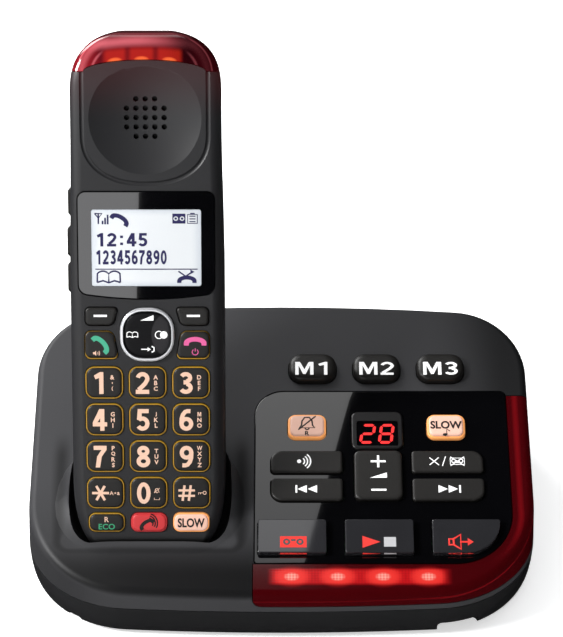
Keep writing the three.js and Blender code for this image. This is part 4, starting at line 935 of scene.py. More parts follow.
def key_openings():
    tools = []
    for name, corners, sizes in FACE_KEYS:
        tools.append(plate("opening", shrunk(corners, -GAP), sizes["corner"] + GAP, -6, 6))
    for places, sizes in ((DIGIT_PLACES, DIGIT_KEY), (FOOT_PLACES, FOOT_KEY)):
        for u, v in places.values():
            size = box_corners(sizes["width"] + 2 * GAP, sizes["height"] + 2 * GAP, u, v)
            tools.append(plate("opening", size, sizes["corner"] + GAP, -6, 6))
    ring = box_corners(NAV["size"] + 2 * GAP, NAV["size"] + 2 * GAP, 0, NAV["v"])
    tools.append(plate("opening", ring, NAV["corner"] + GAP, -6, 6))
    return joined("key_openings", tools)


def pad_groove():
    """Round-bottomed groove that sets off the pad round the dish. It runs up to the light window."""
    half, level, bend = 20.8, 146.8, 16.6
    turns = [math.pi * (1 - i / 28) for i in range(29)]
    bow = [(half * math.copysign(abs(math.cos(a)) ** 0.87, math.cos(a)), level - bend * math.sin(a) ** 0.87) for a in turns]
    sides = [(half, v) for v in (150, 154, 158, 162, 165, 168, 171)]
    path = [(-u, v) for u, v in reversed(sides)] + bow + sides
    curve = bpy.data.curves.new("groove", "CURVE")
    curve.dimensions = "3D"
    curve.bevel_depth = 1.0 * MM
    curve.bevel_resolution = 4
    curve.use_fill_caps = True
    spline = curve.splines.new("POLY")
    spline.points.add(len(path) - 1)
    for point, (u, v) in zip(spline.points, path):
        point.co = (u * MM, v * MM, (handset_face(v) + 0.55) * MM, 1)
    tube = flat_shape(curve, 0, 1)
    outward(tube)
    return tube


def make_front_shell():
    shell = handset_body("handset_front")
    cut(shell, pad_groove())
    dish = turned("dish", dish_profile() + [(DISH_RADIUS, 6), (0, 6)])
    cut(shell, shifted(dish, 0, DISH_V, 0.013))
    room = handset_body("room", lambda v: -WALL)
    under = [point for point in dish_profile(WALL) if point[1] < -WALL / 2]
    boss = turned("boss", under + [(DISH_RADIUS + 1.9, -WALL / 2), (0, -WALL / 2)])
    cut(room, shifted(boss, 0, DISH_V))
    cut(shell, room)
    cut(shell, box_tool((-40, -20, -60), (40, LENGTH + 20, -SEAM)))
    cut(shell, sound_holes())
    cut(shell, alert_tool(GAP))
    cut(shell, drawn("window_tool", window_outline(GAP), -1.5, 6))
    cut(shell, key_openings())
    for length, v in ((22.6, ROCKER_V), (9.5, 122.9)):
        cut(shell, box_tool((-40, v - length / 2 - GAP, ROCKER_W - 2.8), (-18, v + length / 2 + GAP, ROCKER_W + 2.8)))
    settle(shell, HANDSET)
    return finished(shell, "handset", housing_front, ["handset_front_shell"])


def make_alert_lens():
    lens = handset_skin("alert_window")
    cut(lens, alert_tool(0), "INTERSECT")
    settle(lens, HANDSET)
    return finished(lens, "handset", alert_red, ["alert_lens"])


def make_display():
    frame_plate = drawn("display_frame", window_outline(), -1.2, 0)
    pick(frame_plate, "EDGE", lambda edge: all(frame_plate.data.vertices[i].co.z > -0.1 * MM for i in edge.vertices))
    bpy.ops.mesh.bevel(offset=0.25 * MM, segments=2, affect="EDGES")
    outward(frame_plate)
    opening = box_corners(2 * LCD_HALF, LCD_TOP - LCD_BOTTOM, 0, (LCD_TOP + LCD_BOTTOM) / 2)
    cut(frame_plate, plate("opening", opening, 0.8, -3, 3))
    settle(frame_plate, HANDSET)
    finished(frame_plate, "handset", gloss, ["display_window"])
    glass = plate("display_glass", shrunk(opening, 0.05), 0.8, -1.1, -0.12, 0.08)
    settle(glass, HANDSET)
    finished(glass, "handset", lcd_pale)


make_front_shell()
make_alert_lens()
make_display()


# ---- legends: words and signs as thin closed shapes

INK = 0.05


def flat_text(text, height, x=0.0, y=0.0, wide=1.0, bold=0.0, slant=0.0, level=0.0, spacing=1.0):
    """Word lying on a key, as high as asked and centred on (x, y)."""
    bpy.ops.object.text_add()
    obj = bpy.context.object
    letters = obj.data
    letters.body = text
    letters.size = 1
    letters.offset = bold
    letters.extrude = 0.01
    letters.resolution_u = 4
    letters.shear = slant
    letters.space_character = spacing
    only(obj)
    bpy.ops.object.convert(target="MESH")
    obj = bpy.context.object
    corners = [Vector(corner) for corner in obj.bound_box]
    low = Vector(min(corner[axis] for corner in corners) for axis in range(3))
    high = Vector(max(corner[axis] for corner in corners) for axis in range(3))
    scale = height / (high.y - low.y)
    middle = (low + high) / 2
    size = Matrix.Diagonal((scale * wide * MM, scale * MM, INK * MM / 0.02, 1))
    return settle(obj, Matrix.Translation(MM * Vector((x, y, level))) @ size @ Matrix.Translation(-middle))


def stroke(points, width=0.3, level=0.0, closed=False):
    """Pen stroke along points."""
    curve = bpy.data.curves.new("stroke", "CURVE")
    curve.dimensions = "3D"
    curve.bevel_depth = width / 2 * MM
    curve.bevel_resolution = 1
    curve.use_fill_caps = True
    spline = curve.splines.new("POLY")
    spline.points.add(len(points) - 1)
    for point, (x, y) in zip(spline.points, points):
        point.co = (x * MM, y * MM, 0, 1)
    spline.use_cyclic_u = closed
    return flat_shape(curve, level, INK / width)


def patch(*outlines, level=0.0):
    """Filled shape on an outline. Further outlines are holes in it."""
    curve = bpy.data.curves.new("patch", "CURVE")
    curve.dimensions = "2D"
    curve.fill_mode = "BOTH"
    curve.extrude = INK / 2 * MM
    for points in outlines:
        spline = curve.splines.new("POLY")
        spline.points.add(len(points) - 1)
        for point, (x, y) in zip(spline.points, points):
            point.co = (x * MM, y * MM, 0, 1)
        spline.use_cyclic_u = True
    return flat_shape(curve, level, 1)


def moved(points, x, y, size=1.0, turn=0.0):
    c, s = math.cos(math.radians(turn)), math.sin(math.radians(turn))
    return [(x + size * (c * a - s * b), y + size * (s * a + c * b)) for a, b in points]


def band(points, width):
    """Outline of a line of even width with square ends."""
    left, right = [], []
    for index, point in enumerate(points):
        before, after = points[max(index - 1, 0)], points[min(index + 1, len(points) - 1)]
        along = (Vector(after) - Vector(before)).normalized()
        side = Vector((-along.y, along.x)) * width / 2
        left.append(tuple(Vector(point) + side))
        right.append(tuple(Vector(point) - side))
    return left + right[::-1]


def figure_outlines(char, w):
    """Shapes of a bold figure 1 high and 0.62 wide, with strokes w wide. A shape is an outline and its holes."""
    h, left, right, middle = w / 2, w / 2, 0.62 - w / 2, 0.31
    reach = right - middle

    def ring(y, wide, high):
        return [oval(middle, y, wide + h, high + h)[:-1], oval(middle, y, wide - h, high - h)[:-1]]

    def bar(x1, y1, x2, y2):
        return [[(x1, y1), (x2, y1), (x2, y2), (x1, y2)]]

    if char == "0":
        return [ring(0.5, reach, 0.5 - h)]
    if char == "1":
        stem = [(0.5, 0), (0.5, 1), (0.5 - 0.8 * w, 1), (0.08, 0.84), (0.14, 0.84 - 0.9 * w), (0.5 - w, 0.92 - w), (0.5 - w, 0)]
        return [[stem]]
    if char == "2":
        hook = oval(middle, 0.69, reach, 0.31 - h, 165, -12, 14)
        return [[band(hook + [(0.42, 0.47), (0.24, 0.29), (h + 0.03, w)], w)], bar(0, 0, 0.6, w)]
    if char == "3":
        upper = oval(middle - 0.01, 0.74, reach - 0.02, 0.26 - h, 155, -80, 14)
        lower = oval(middle - 0.01, 0.27 + 0.01, reach, 0.28 - h, 80, -155, 14)
        return [[band(upper, w)], [band(lower, w)], bar(0.2, 0.53 - h, 0.36, 0.53 + h)]
    if char == "4":
        slope = [(0.3, 1), (0.47 - w * 0.1, 1), (0.47, 0.8), (0.02 + w, 0.2 + w), (0, 0.2 + w)]
        return [[slope], bar(0, 0.2, 0.64, 0.2 + w), bar(0.33, 0, 0.33 + w, 1)]
    if char == "5":
        bowl = oval(middle - 0.02, 0.33, reach, 0.33 - h, 118, -150, 16)
        return [bar(0.08, 1 - w, 0.57, 1), [[(0.08, 1), (0.08 + w, 1), (0.05 + w, 0.5), (0.04, 0.5)]], [band([(0.1, 0.5), (0.17, 0.575)] + bowl, w)]]
    if char in "69":
        back = [(left, 0.34), (left + 0.01, 0.56), (left + 0.07, 0.75), (left + 0.17, 0.87), (0.36, 1 - h), (0.5, 0.9)]
        shapes = [ring(0.32, reach, 0.32 - h), [band(back, w)]]
        return shapes if char == "6" else [[[(0.62 - a, 1 - b) for a, b in part] for part in shape] for shape in shapes]
    if char == "7":
        return [bar(0.02, 1 - w, 0.6, 1), [[(0.6, 1 - w), (0.38, 0.5), (0.3, 0), (0.3 - 1.05 * w, 0), (0.38 - 1.1 * w, 0.5), (0.6 - 1.2 * w, 1 - w)]]]
    if char == "8":
        return [ring(0.745, reach - 0.035, 0.255 - h), ring(0.285, reach, 0.285 - h)]
    if char == "M":
        return [[[(0, 0), (0, 1), (1.4 * w, 1), (0.42, 0.42), (0.84 - 1.4 * w, 1), (0.84, 1), (0.84, 0), (0.84 - w, 0), (0.84 - w, 0.72),
                  (0.42 + 0.4 * w, 0.06), (0.42 - 0.4 * w, 0.06), (w, 0.72), (w, 0)]]]
    return [[box_corners(w, w, middle, 0.2)], [box_corners(w, w, middle, 0.72)]]


def figures(text, height, x, y, weight=0.19, wide=1.0, space=0.14, centred=True):
    """Bold figures in a row, centred on x or starting there."""
    widths = [{"M": 0.84, ":": 0.42}.get(char, 0.62) for char in text]
    total = sum(widths) + space * (len(text) - 1)
    start = -total / 2 if centred else 0
    shapes = []
    for char, width in zip(text, widths):
        lead = start - (0.1 if char == ":" else 0)
        for outlines in figure_outlines(char, weight):
            placed = [[(x + height * wide * (lead + a), y + height * (b - 0.5)) for a, b in part] for part in outlines]
            shapes.append(patch(*placed))
        start += width + space
    return shapes


def bell(x, y, size):
    outline = [(-1, -0.75), (-0.72, -0.35), (-0.66, 0.3), (-0.3, 0.85), (0.3, 0.85), (0.66, 0.3), (0.72, -0.35), (1, -0.75)]
    clapper = arc(0, -0.78, 0.26, 180, 360, 5)
    return [
        stroke(moved(outline, x, y, size), 0.15 * size + 0.14, closed=True),
        stroke(moved(clapper, x, y, size), 0.15 * size + 0.1),
        stroke(moved([(-1.15, -1.05), (1.15, 1.05)], x, y, size), 0.15 * size + 0.12),
    ]


def receiver_sign(x, y, size, turn=0.0):
    """Telephone receiver: a curved grip between two pads."""
    over = oval(0, -0.35, 1.8, 1.0, 180, 0, 14)
    under = oval(0, -0.45, 1.0, 0.35, 0, 180, 8)
    pads = [(1.8, -0.75), (1.02, -0.75)], [(-1.02, -0.75), (-1.8, -0.75)]
    return [patch(moved(over + pads[0] + under + pads[1], x, y, size, turn))]


def waves(x, y, size, start=-50, end=50, count=3, first=0.5, step=0.5, width=0.28):
    return [stroke(arc(x, y, size * (first + i * step), start, end, 7), width) for i in range(count)]


def triangle(x, y, width, height, point=1):
    return patch([(x - point * width / 2, y - height / 2), (x + point * width / 2, y), (x - point * width / 2, y + height / 2)])


def square(x, y, width, height):
    return patch(box_corners(width, height, x, y))


def tape_sign(x, y, size, width):
    """Tape cassette: a case with two reels."""
    case = box_corners(3.6 * size, 1.9 * size, x, y)
    reels = [stroke(arc(x + side * 0.95 * size, y + 0.1 * size, 0.5 * size, 0, 360, 12)[:-1], width, closed=True) for side in (-1, 1)]
    line = stroke([(x - 0.95 * size, y - 0.4 * size), (x + 0.95 * size, y - 0.4 * size)], width)
    return [stroke(list(case), width, closed=True), line] + reels


def tape_block(x, y, size):
    """Filled cassette with its reels left open."""
    holes = [oval(x + side * size, y, 0.55 * size, 0.55 * size)[:-1] for side in (-1, 1)]
    hubs = [patch(oval(x + side * size, y, 0.24 * size, 0.24 * size)[:-1]) for side in (-1, 1)]
    slot = box_corners(0.7 * size, 0.35 * size, x, y + 0.3 * size)
    return [patch(box_corners(4.0 * size, 1.9 * size, x, y), *holes, slot)] + hubs


def book_sign(x, y, size, width):
    page = arc(-0.8, -0.1, 1.0, 140, 40, 5)
    left = moved([(-1.6, -0.7)] + page + [(0, 0.6), (0, -0.7)], x, y, size)
    right = moved([(1.6, -0.7)] + [(-a, b) for a, b in page] + [(0, 0.6)], x, y, size)
    foot = moved([(-1.6, -0.7), (-0.8, -0.45), (0, -0.75), (0.8, -0.45), (1.6, -0.7)], x, y, size)
    return [stroke(left, width), stroke(right, width), stroke(foot, width)]


def loudspeaker_sign(x, y, size, width):
    box = moved([(-1.4, -0.5), (-0.7, -0.5), (-0.7, 0.5), (-1.4, 0.5)], x, y, size)
    cone = moved([(-0.7, -0.5), (0.4, -1.3), (0.4, 1.3), (-0.7, 0.5)], x, y, size)
    return [stroke(box, width, closed=True), stroke(cone, width, closed=True)]


def power_sign(x, y, size, width):
    return [stroke(arc(x, y, size, 125, 415, 14), width), stroke([(x, y + 0.2 * size), (x, y + 1.25 * size)], width)]


def legend(name, shapes, placing_matrix, level, body, finish):
    """All shapes of one colour on a key, joined and laid on its face."""
    obj = joined(name, shapes)
    settle(obj, placing_matrix @ Matrix.Translation((0, 0, (level + 0.4 * INK) * MM)))
    return finished(obj, body, finish, smooth=False)


def at(placing_matrix, x, y):
    return placing_matrix @ Matrix.Translation(MM * Vector((x, y, 0)))


# ---- keys of the handset

RIM_WIDTH = 0.38
RIM_TOP = 0.42


def key_rim(name, corners, corner, top=RIM_TOP):
    """Translucent skirt that shows as a fine line round a key cap."""
    rim = plate(name, corners, corner, -KEY_DEPTH, top, 0.12, steps=2)
    return cut(rim, plate("inside", shrunk(corners, RIM_WIDTH - 0.04), corner - RIM_WIDTH, -KEY_DEPTH - 1, 3))


def key_cap(name, corners, corner, rise, edge=0.5, inset=RIM_WIDTH):
    """Cap with a rounded edge and a face that is very slightly crowned."""
    corner = max(corner - inset, 0.5)
    cap = plate(name, shrunk(corners, inset), corner, -KEY_DEPTH, rise - 0.05, edge, steps=4)
    pick(cap, "FACE", lambda face: face.normal.z > 0.99 and face.area > 4 * MM * MM)
    bpy.ops.mesh.inset(thickness=min(1.2, 0.6 * (corner - edge)) * MM)
    bpy.ops.transform.translate(value=(0, 0, 0.05 * MM))
    bpy.ops.object.mode_set(mode="OBJECT")
    return cap


DIGIT_LEGENDS = {
    "1": ("1", "&'("), "2": ("2", "ABC"), "3": ("3", "DEF"), "4": ("4", "GHI"), "5": ("5", "JKL"), "6": ("6", "MNO"),
    "7": ("7", "PQRS"), "8": ("8", "TUV"), "9": ("9", "WXYZ"), "star": ("*", ""), "0": ("0", ""), "hash": ("#", ""),
}


def digit_shapes(digit):
    figure, letters = DIGIT_LEGENDS[digit]
    if digit == "star":
        arms = [patch(moved(band([(-2.85, 0), (2.85, 0)], 0.85), -1.7, 0, 1, turn)) for turn in (0, 60, 120)]
        arrow = [stroke([(2.75, 0), (3.3, 0)], 0.2), triangle(3.4, 0, 0.5, 0.8)]
        return arms + arrow + [flat_text("A", 1.35, 2.0, 0, bold=0.012), flat_text("a", 1.0, 4.3, -0.15, bold=0.012)]
    if digit == "hash":
        key = [stroke(arc(4.4, 0.1, 0.55, 0, 360, 10)[:-1], 0.24, closed=True), stroke([(3.9, 0.1), (2.3, 0.1), (2.3, -0.5)], 0.24), stroke([(3.0, 0.1), (3.0, -0.4)], 0.24)]
        bars = [patch(moved(band([(-0.35, -2.7), (0.35, 2.7)], 0.8), -1.7 + side * 1.05, 0)) for side in (-1, 1)]
        bars += [patch(box_corners(5.6, 0.75, -1.7, side * 0.95)) for side in (-1, 1)]
        return bars + key
    if digit == "0":
        space = stroke([(1.9, -1.7), (1.9, -2.3), (3.7, -2.3), (3.7, -1.7)], 0.22)
        return figures("0", 7.5, -1.65, 0) + [space] + bell(2.8, 0.9, 0.8)
    shapes = figures(figure, 7.5, -1.65, 0)
    pitch = 1.95
    for i, letter in enumerate(letters):
        y = ((len(letters) - 1) / 2 - i) * pitch
        height = 0.6 if letter == "'" else 1.5
        wide = {"W": 0.8}.get(letter, 1)
        shapes += figures("M", 1.5, 2.75, y) if letter == "M" else [flat_text(letter, height, 2.75, y, wide, 0.03)]
    return shapes


def make_digit_keys():
    corners = box_corners(DIGIT_KEY["width"], DIGIT_KEY["height"])
    first_cap = key_cap("first_cap", corners, DIGIT_KEY["corner"], DIGIT_KEY["rise"])
    first_rim = key_rim("first_rim", corners, DIGIT_KEY["corner"])
    for digit, (u, v) in DIGIT_PLACES.items():
        body = "key_" + digit
        spot = at(HANDSET, u, v)
        cap = settle(copied(first_cap, body + "_cap"), spot)
        finished(cap, body, key_black, [body])
        rim = settle(copied(first_rim, body + "_rim"), spot)
        finished(rim, body, amber)
        legend(body + "_legend", digit_shapes(digit), spot, DIGIT_KEY["rise"], body, ink_peach)
    for obj in (first_cap, first_rim):
        bpy.data.objects.remove(obj)


def make_foot_keys():
    corners = box_corners(FOOT_KEY["width"], FOOT_KEY["height"])
    rise = FOOT_KEY["rise"]
    looks = {"eco_key": ("black_key", key_black, amber), "boost_key": ("red_key", red_key, red_key),
             "slow_key": ("peach_key", peach_key, peach_side)}
    for name, (slot, face, side) in looks.items():
        spot = at(HANDSET, *FOOT_PLACES[name])
        cap = settle(key_cap(name + "_cap", corners, FOOT_KEY["corner"], rise), spot)
        finished(cap, name, face, [name])
        rim = settle(key_rim(name + "_rim", corners, FOOT_KEY["corner"], 0.5), spot)
        finished(rim, name, side)
        if name == "eco_key":
            legend("eco_key_r", [flat_text("R", 1.8, 0, 1.15, bold=0.01)], spot, rise, name, ink_peach)
            legend("eco_key_eco", [flat_text("ECO", 2.0, 0, -1.35, 1.05, bold=0.02)], spot, rise, name, ink_eco)
        elif name == "boost_key":
            shapes = receiver_sign(-1.0, -0.2, 1.6, 35) + waves(-0.5, -0.1, 1.0, -30, 70, 3, 1.9, 0.75, 0.45)
            legend("boost_key_sign", shapes, spot, rise, name, ink_black)
        else:
            legend("slow_key_word", [flat_text("SLOW", 3.2, 0, 0, 0.76, 0.028)], spot, rise, name, ink_black)


def make_soft_and_call_keys():
    for name, corners, sizes in FACE_KEYS:
        middle = sum((Vector(corner) for corner in corners), Vector((0, 0))) / 4
        corners = tuple((x - middle.x, y - middle.y) for x, y in corners)
        spot = at(HANDSET, middle.x, middle.y)
        face = corners
        if sizes is CALL_KEY:
            face = tuple((x, y + 0.5 if y < 0 else y) for x, y in corners)
            rim = settle(key_rim(name + "_rim", corners, sizes["corner"], 0.25), spot)
            finished(rim, name, amber)
        cap = settle(key_cap(name + "_cap", face, sizes["corner"], sizes["rise"], inset=0.04), spot)
        finished(cap, name, key_black, [name])
        rise = sizes["rise"]
        if sizes is SOFT_KEY:
            legend(name + "_dash", [stroke([(-2.2, 0.3), (2.2, 0.3)], 0.75)], spot, rise, name, ink_white)
        elif name == "talk_key":
            legend("talk_key_sign", receiver_sign(0.5, 0.7, 2.1, -48), spot, rise, name, ink_green)
            shapes = [patch(moved([(-1, -0.4), (-0.4, -0.4), (0.2, -1), (0.2, 1), (-0.4, 0.4), (-1, 0.4)], -1.6, -2.6, 0.9))]
            shapes += waves(-1.4, -2.6, 0.9, -40, 40, 2, 0.7, 0.6, 0.24)
            legend("talk_key_speaker", shapes, spot, rise, name, ink_peach)
        else:
            legend("off_key_sign", receiver_sign(0.4, 1.6, 2.1, 0), spot, rise, name, ink_pink)
            legend("off_key_power", power_sign(0.4, -2.2, 1.0, 0.3), spot, rise, name, ink_pink)


def make_nav_key():
    spot = at(HANDSET, 0, NAV["v"])
    corners = box_corners(NAV_SIZE, NAV_SIZE)
    rise = 0.9
    cap = settle(key_cap("nav_key_cap", corners, NAV["corner"] - NAV["width"] - GAP, rise, 0.7, 0.0), spot)
    finished(cap, "nav_key", nav_black, ["nav_key"])
    wedge = patch([(-2.2, 4.9), (2.2, 4.9), (2.2, 6.7)])
    circles = [stroke(arc(4.0, 0, 1.25, 0, 360, 16)[:-1], 0.3, closed=True), patch(arc(5.6, 0, 1.25, 0, 360, 16)[:-1])]
    arrow = [stroke([(-2.0, -4.9), (0.2, -4.9)], 0.35), triangle(0.7, -4.9, 1.1, 1.4),
             stroke([(1.5, -3.9), (2.3, -4.3), (2.3, -5.5), (1.5, -5.9)], 0.45)]
    shapes = [wedge] + circles + arrow + book_sign(-4.9, 0, 1.15, 0.28)
    legend("nav_key_signs", shapes, spot, rise, "nav_key", ink_white)
    ring = plate("nav_ring_polished", box_corners(NAV["size"], NAV["size"]), NAV["corner"], -2.6, NAV["rise"], 0.55, 8, 4)
    inside = box_corners(NAV["size"] - 2 * NAV["width"], NAV["size"] - 2 * NAV["width"])
    cut(ring, plate("inside", inside, NAV["corner"] - NAV["width"], -4, 4, turns=8))
    finished(settle(ring, spot), "handset", chrome, ["nav_ring"])


def make_display_content():
    left, right = -LCD_HALF + 1.3, LCD_HALF - 1.3
    mast = [stroke([(left, 120.3), (left + 1.2, 118.7), (left + 2.4, 120.3), (left, 120.3)], 0.46), stroke([(left + 1.2, 120.3), (left + 1.2, 116.8)], 0.5)]
    bars = [square(left + 2.6 + i * 0.85, 116.7 + (1.2 + 1.0 * i) / 2, 0.55, 1.2 + 1.0 * i) for i in range(3)]
    shapes = mast + bars + receiver_sign(-8.5, 118.6, 1.9, -30)
    shapes += figures("12:45", 4.5, left + 0.2, 111.5, 0.19, 1.12, 0.13, False)
    shapes += figures("1234567890", 4.8, left + 0.1, 105.6, 0.2, 0.66, 0.14, False)
    shapes += [square(0, 101.6, 2 * right, 0.32)] + book_sign(-12.6, 98.8, 2.4, 0.55)
    shapes += receiver_sign(13.4, 98.3, 1.8, 0) + [stroke([(10.6, 100.9), (13.0, 99.2), (15.2, 100.7)], 0.5), triangle(15.3, 100.7, 1.4, 1.5)]
    tape_case = box_corners(4.3, 3.3, 10.9, 118.6)
    reels = [oval(10.9 + side * 1.05, 118.6, 0.8, 0.75)[:-1] for side in (-1, 1)]
    hubs = [patch(oval(10.9 + side * 1.05, 118.6, 0.4, 0.38)[:-1]) for side in (-1, 1)]
    shapes += [patch(tape_case, *reels)] + hubs
    shapes += [stroke(box_corners(3.2, 3.0, 15.4, 118.5), 0.34, closed=True), square(15.4, 120.2, 1.5, 0.6)]
    shapes += [stroke([(14.4, y), (16.4, y)], 0.34) for y in (117.6, 118.5, 119.4)]
    legend("display_content", shapes, HANDSET, -0.12, "handset", ink_navy)


make_digit_keys()
make_foot_keys()
make_soft_and_call_keys()
make_nav_key()
make_display_content()


# ---- housings of the base

DECK_Y, DECK_HEIGHT = DECK.translation.y / MM, DECK.translation.z / MM
PLAN_Y = DECK_Y - 3 + BASE_DEPTH / 2
DECK_OUT = Vector(DECK.col[2][:3])
LEAN_RUN = -HANDSET_IN_DECK.col[1][1] / -HANDSET_IN_DECK.col[1][2]


def plan_outline():
    """Plan of the base: bowed front and back edges between four round corners."""
    half = BASE_WIDTH / 2
    front, back = PLAN_Y - BASE_DEPTH / 2, PLAN_Y + BASE_DEPTH / 2

    def bowed(corner):
        side = half - corner
        tilt = math.degrees(math.asin(side / (BOW - corner)))
        return side, tilt, BOW - (BOW - corner) * math.cos(math.radians(tilt))

    front_side, front_tilt, front_rise = bowed(FRONT_CORNER)
    back_side, back_tilt, back_rise = bowed(BACK_CORNER)
    low, high = front + front_rise, back - back_rise
    points = arc(0, front + BOW, BOW, 270 - front_tilt, 270 + front_tilt, 12)[:-1]
    points += arc(front_side, low, FRONT_CORNER, front_tilt - 90, 0, 20)
    points += arc(back_side, high, BACK_CORNER, 0, 90 - back_tilt, 16)[:-1]
    points += arc(0, back - BOW, BOW, 90 - back_tilt, 90 + back_tilt, 8)[:-1]
    points += arc(-back_side, high, BACK_CORNER, 90 + back_tilt, 180, 16)
    return points + arc(-front_side, low, FRONT_CORNER, 180, 270 - front_tilt, 20)[:-1]


def upper_block(name):
    """Upper half of the base: the plan drawn up, sliced along the deck, with a rounded rim."""
    block = drawn(name, plan_outline(), BASE_SEAM, 80)
    pick(block, "FACE", lambda face: True)
    bpy.ops.mesh.bisect(plane_co=DECK.translation, plane_no=DECK_OUT, use_fill=True, clear_outer=True)
    bpy.ops.object.mode_set(mode="OBJECT")
    height = DECK_HEIGHT + BASE_DEPTH / 2 * math.tan(math.asin(-DECK_OUT.y))
    middle = MM * Vector((0, PLAN_Y, height - 3 * math.tan(math.asin(-DECK_OUT.y))))
    level = DECK_OUT.dot(DECK.translation)
    share = 1 - DRAFT / (BASE_DEPTH / 2)
    pick(block, "VERT", lambda vertex: abs(DECK_OUT.dot(vertex.co) - level) < 0.01 * MM)
    bpy.ops.transform.resize(value=(1 - DRAFT / (BASE_WIDTH / 2), share, share), center_override=middle)
    bpy.ops.object.mode_set(mode="OBJECT")
    rim = lambda edge: all(abs(DECK_OUT.dot(block.data.vertices[i].co) - level) < 0.01 * MM for i in edge.vertices)
    pick(block, "EDGE", rim)
    bpy.ops.mesh.bevel(offset=TOP_EDGE * MM, segments=7, affect="EDGES")
    outward(block)
    return block


def lower_block(name):
    """Lower half: drawn down from the seam, rounding under towards the foot."""
    top, bottom = BASE_SEAM - GAP, FOOT_RISE
    block = drawn(name, plan_outline(), top - 0.4, top)
    pick(block, "FACE", lambda face: face.normal.z < -0.9)
    last_inset, last_level = 0, top - 0.4
    for step in range(1, 11):
        turn = math.pi / 2 * step / 10
        inset, level = BOTTOM_TAPER * (1 - math.cos(turn)), blend(top - 0.4, bottom, math.sin(turn))
        bpy.ops.mesh.extrude_region_move(TRANSFORM_OT_translate={"value": (0, 0, (level - last_level) * MM)})
        shares = [(half - inset) / (half - last_inset) for half in (BASE_WIDTH / 2, BASE_DEPTH / 2)]
        bpy.ops.transform.resize(value=(*shares, 1), center_override=(0, PLAN_Y * MM, level * MM))
        last_inset, last_level = inset, level
    bpy.ops.object.mode_set(mode="OBJECT")
    outward(block)
    return block


def leaning(name, corners, radii, steps):
    """Block that leans with the handset. Each step gives its level, width, depth and tilt share."""
    middle = sum((Vector(corner) for corner in corners), Vector((0, 0))) / 4
    block = plate(name, corners, radii, -CRADLE["lip"], 0)
    pick(block, "FACE", lambda face: face.normal.z > 0.9)
    last = (0, corners[1][0] - corners[0][0], corners[2][1] - corners[1][1], 0)
    for now in steps:
        rise = now[0] - last[0]
        bpy.ops.mesh.extrude_region_move(TRANSFORM_OT_translate={"value": (0, rise * LEAN_RUN * MM, rise * MM)})
        centre = (middle.x * MM, (middle.y + now[0] * LEAN_RUN) * MM, now[0] * MM)
        bpy.ops.transform.resize(value=(now[1] / last[1], now[2] / last[2], 1), center_override=centre)
        if now[3] != last[3]:
            bpy.ops.transform.rotate(value=last[3] - now[3], orient_axis="X", center_override=centre)
        last = now
    bpy.ops.object.mode_set(mode="OBJECT")
    outward(block)
    return block


def collar_block():
    """Smooth ring that sweeps up from the deck round the handset's foot."""
    width, depth = 2 * CRADLE["half"], CRADLE["back"] - CRADLE["front"]
    middle = (CRADLE["front"] + CRADLE["back"]) / 2
    foot = CRADLE["lip"] + CRADLE["foot"]
    mean = (CRADLE["front_rise"] + CRADLE["back_rise"]) / 2
    slope = (CRADLE["back_rise"] - CRADLE["front_rise"]) / depth
    corners = box_corners(width + 2 * foot, depth + 2 * foot, HANDSET_X, middle)
    radii = [CRADLE["front_corner"] + foot] * 2 + [CRADLE["back_corner"] + foot] * 2
    steps = []
    for share in (0.08, 0.18, 0.3, 0.44, 0.58, 0.72, 0.84, 0.93, 1.0):
        grow = CRADLE["lip"] + CRADLE["foot"] * (1 - share) ** 1.5
        steps.append((mean * share, width + 2 * grow, (depth + 2 * grow) * (1 + slope * LEAN_RUN * share), slope * share))
    return settle(leaning("collar", corners, radii, steps), DECK)


def backrest_block():
    width, depth = 2 * BACKREST["half"], BACKREST["back"] - BACKREST["front"]
    corners = box_corners(width, depth, HANDSET_X, (BACKREST["front"] + BACKREST["back"]) / 2)
    rise, taper = BACKREST["rise"], BACKREST["taper"]
    steps = [(rise - taper, width - 0.8 * taper, depth - 0.8 * taper, 0)]
    for i in range(1, 6):
        turn = math.pi / 2 * i / 5
        inset = 0.4 * taper + 0.6 * taper * (1 - math.cos(turn))
        steps.append((rise - taper + taper * math.sin(turn), width - 2 * inset, depth - 2 * inset, 0))
    return settle(leaning("backrest", corners, BACKREST["corner"], steps), DECK)


def lens_tool(grow):
    """Space of the light bar: in front of and beside the control panel, above the seam."""
    shift = GAP - grow
    far = BASE_WIDTH / 2 + 9
    left, back, bottom = LENS["left"] - grow, LENS["back"] + grow, LENS["bottom"] - grow
    seam_x, seam_t = PANEL["right"] + shift, PANEL["front"] - shift
    corner = PANEL["radii"][1] + shift
    bend = arc(seam_x - corner, seam_t + corner, corner, 0, -90, 16)
    outline = [(left, -160), (far, -160), (far, back), (seam_x, back)] + bend + [(left, seam_t)]
    plan = settle(drawn("lens_plan", outline, -70, 9), DECK)
    round_corner = LENS["corner"] + grow
    front = arc(left + round_corner, bottom + round_corner, round_corner, 180, 270, 8) + [(far, bottom), (far, 120), (left, 120)]
    view = drawn("lens_front", front, -150, 150)
    settle(view, Matrix.Rotation(math.pi / 2, 4, "X"))
    return cut(plan, view, "INTERSECT")


def panel_corners(grow=0.0):
    left, right, front, back = PANEL["left"], PANEL["right"], PANEL["front"], PANEL["back"]
    return shrunk(((left, front), (right, front), (right, back), (left, back)), -grow)


def panel_radii(grow=0.0):
    bottom_left, bottom_right, top_right, top_left = PANEL["radii"]
    return [radius + grow for radius in (bottom_left, bottom_right, top_right, top_left)]


def swept_radii(sizes, index):
    radii = [sizes["corner"]] * 4
    if index is not None:
        radii[index] = sizes.get("outer", sizes.get("swept"))
    return radii


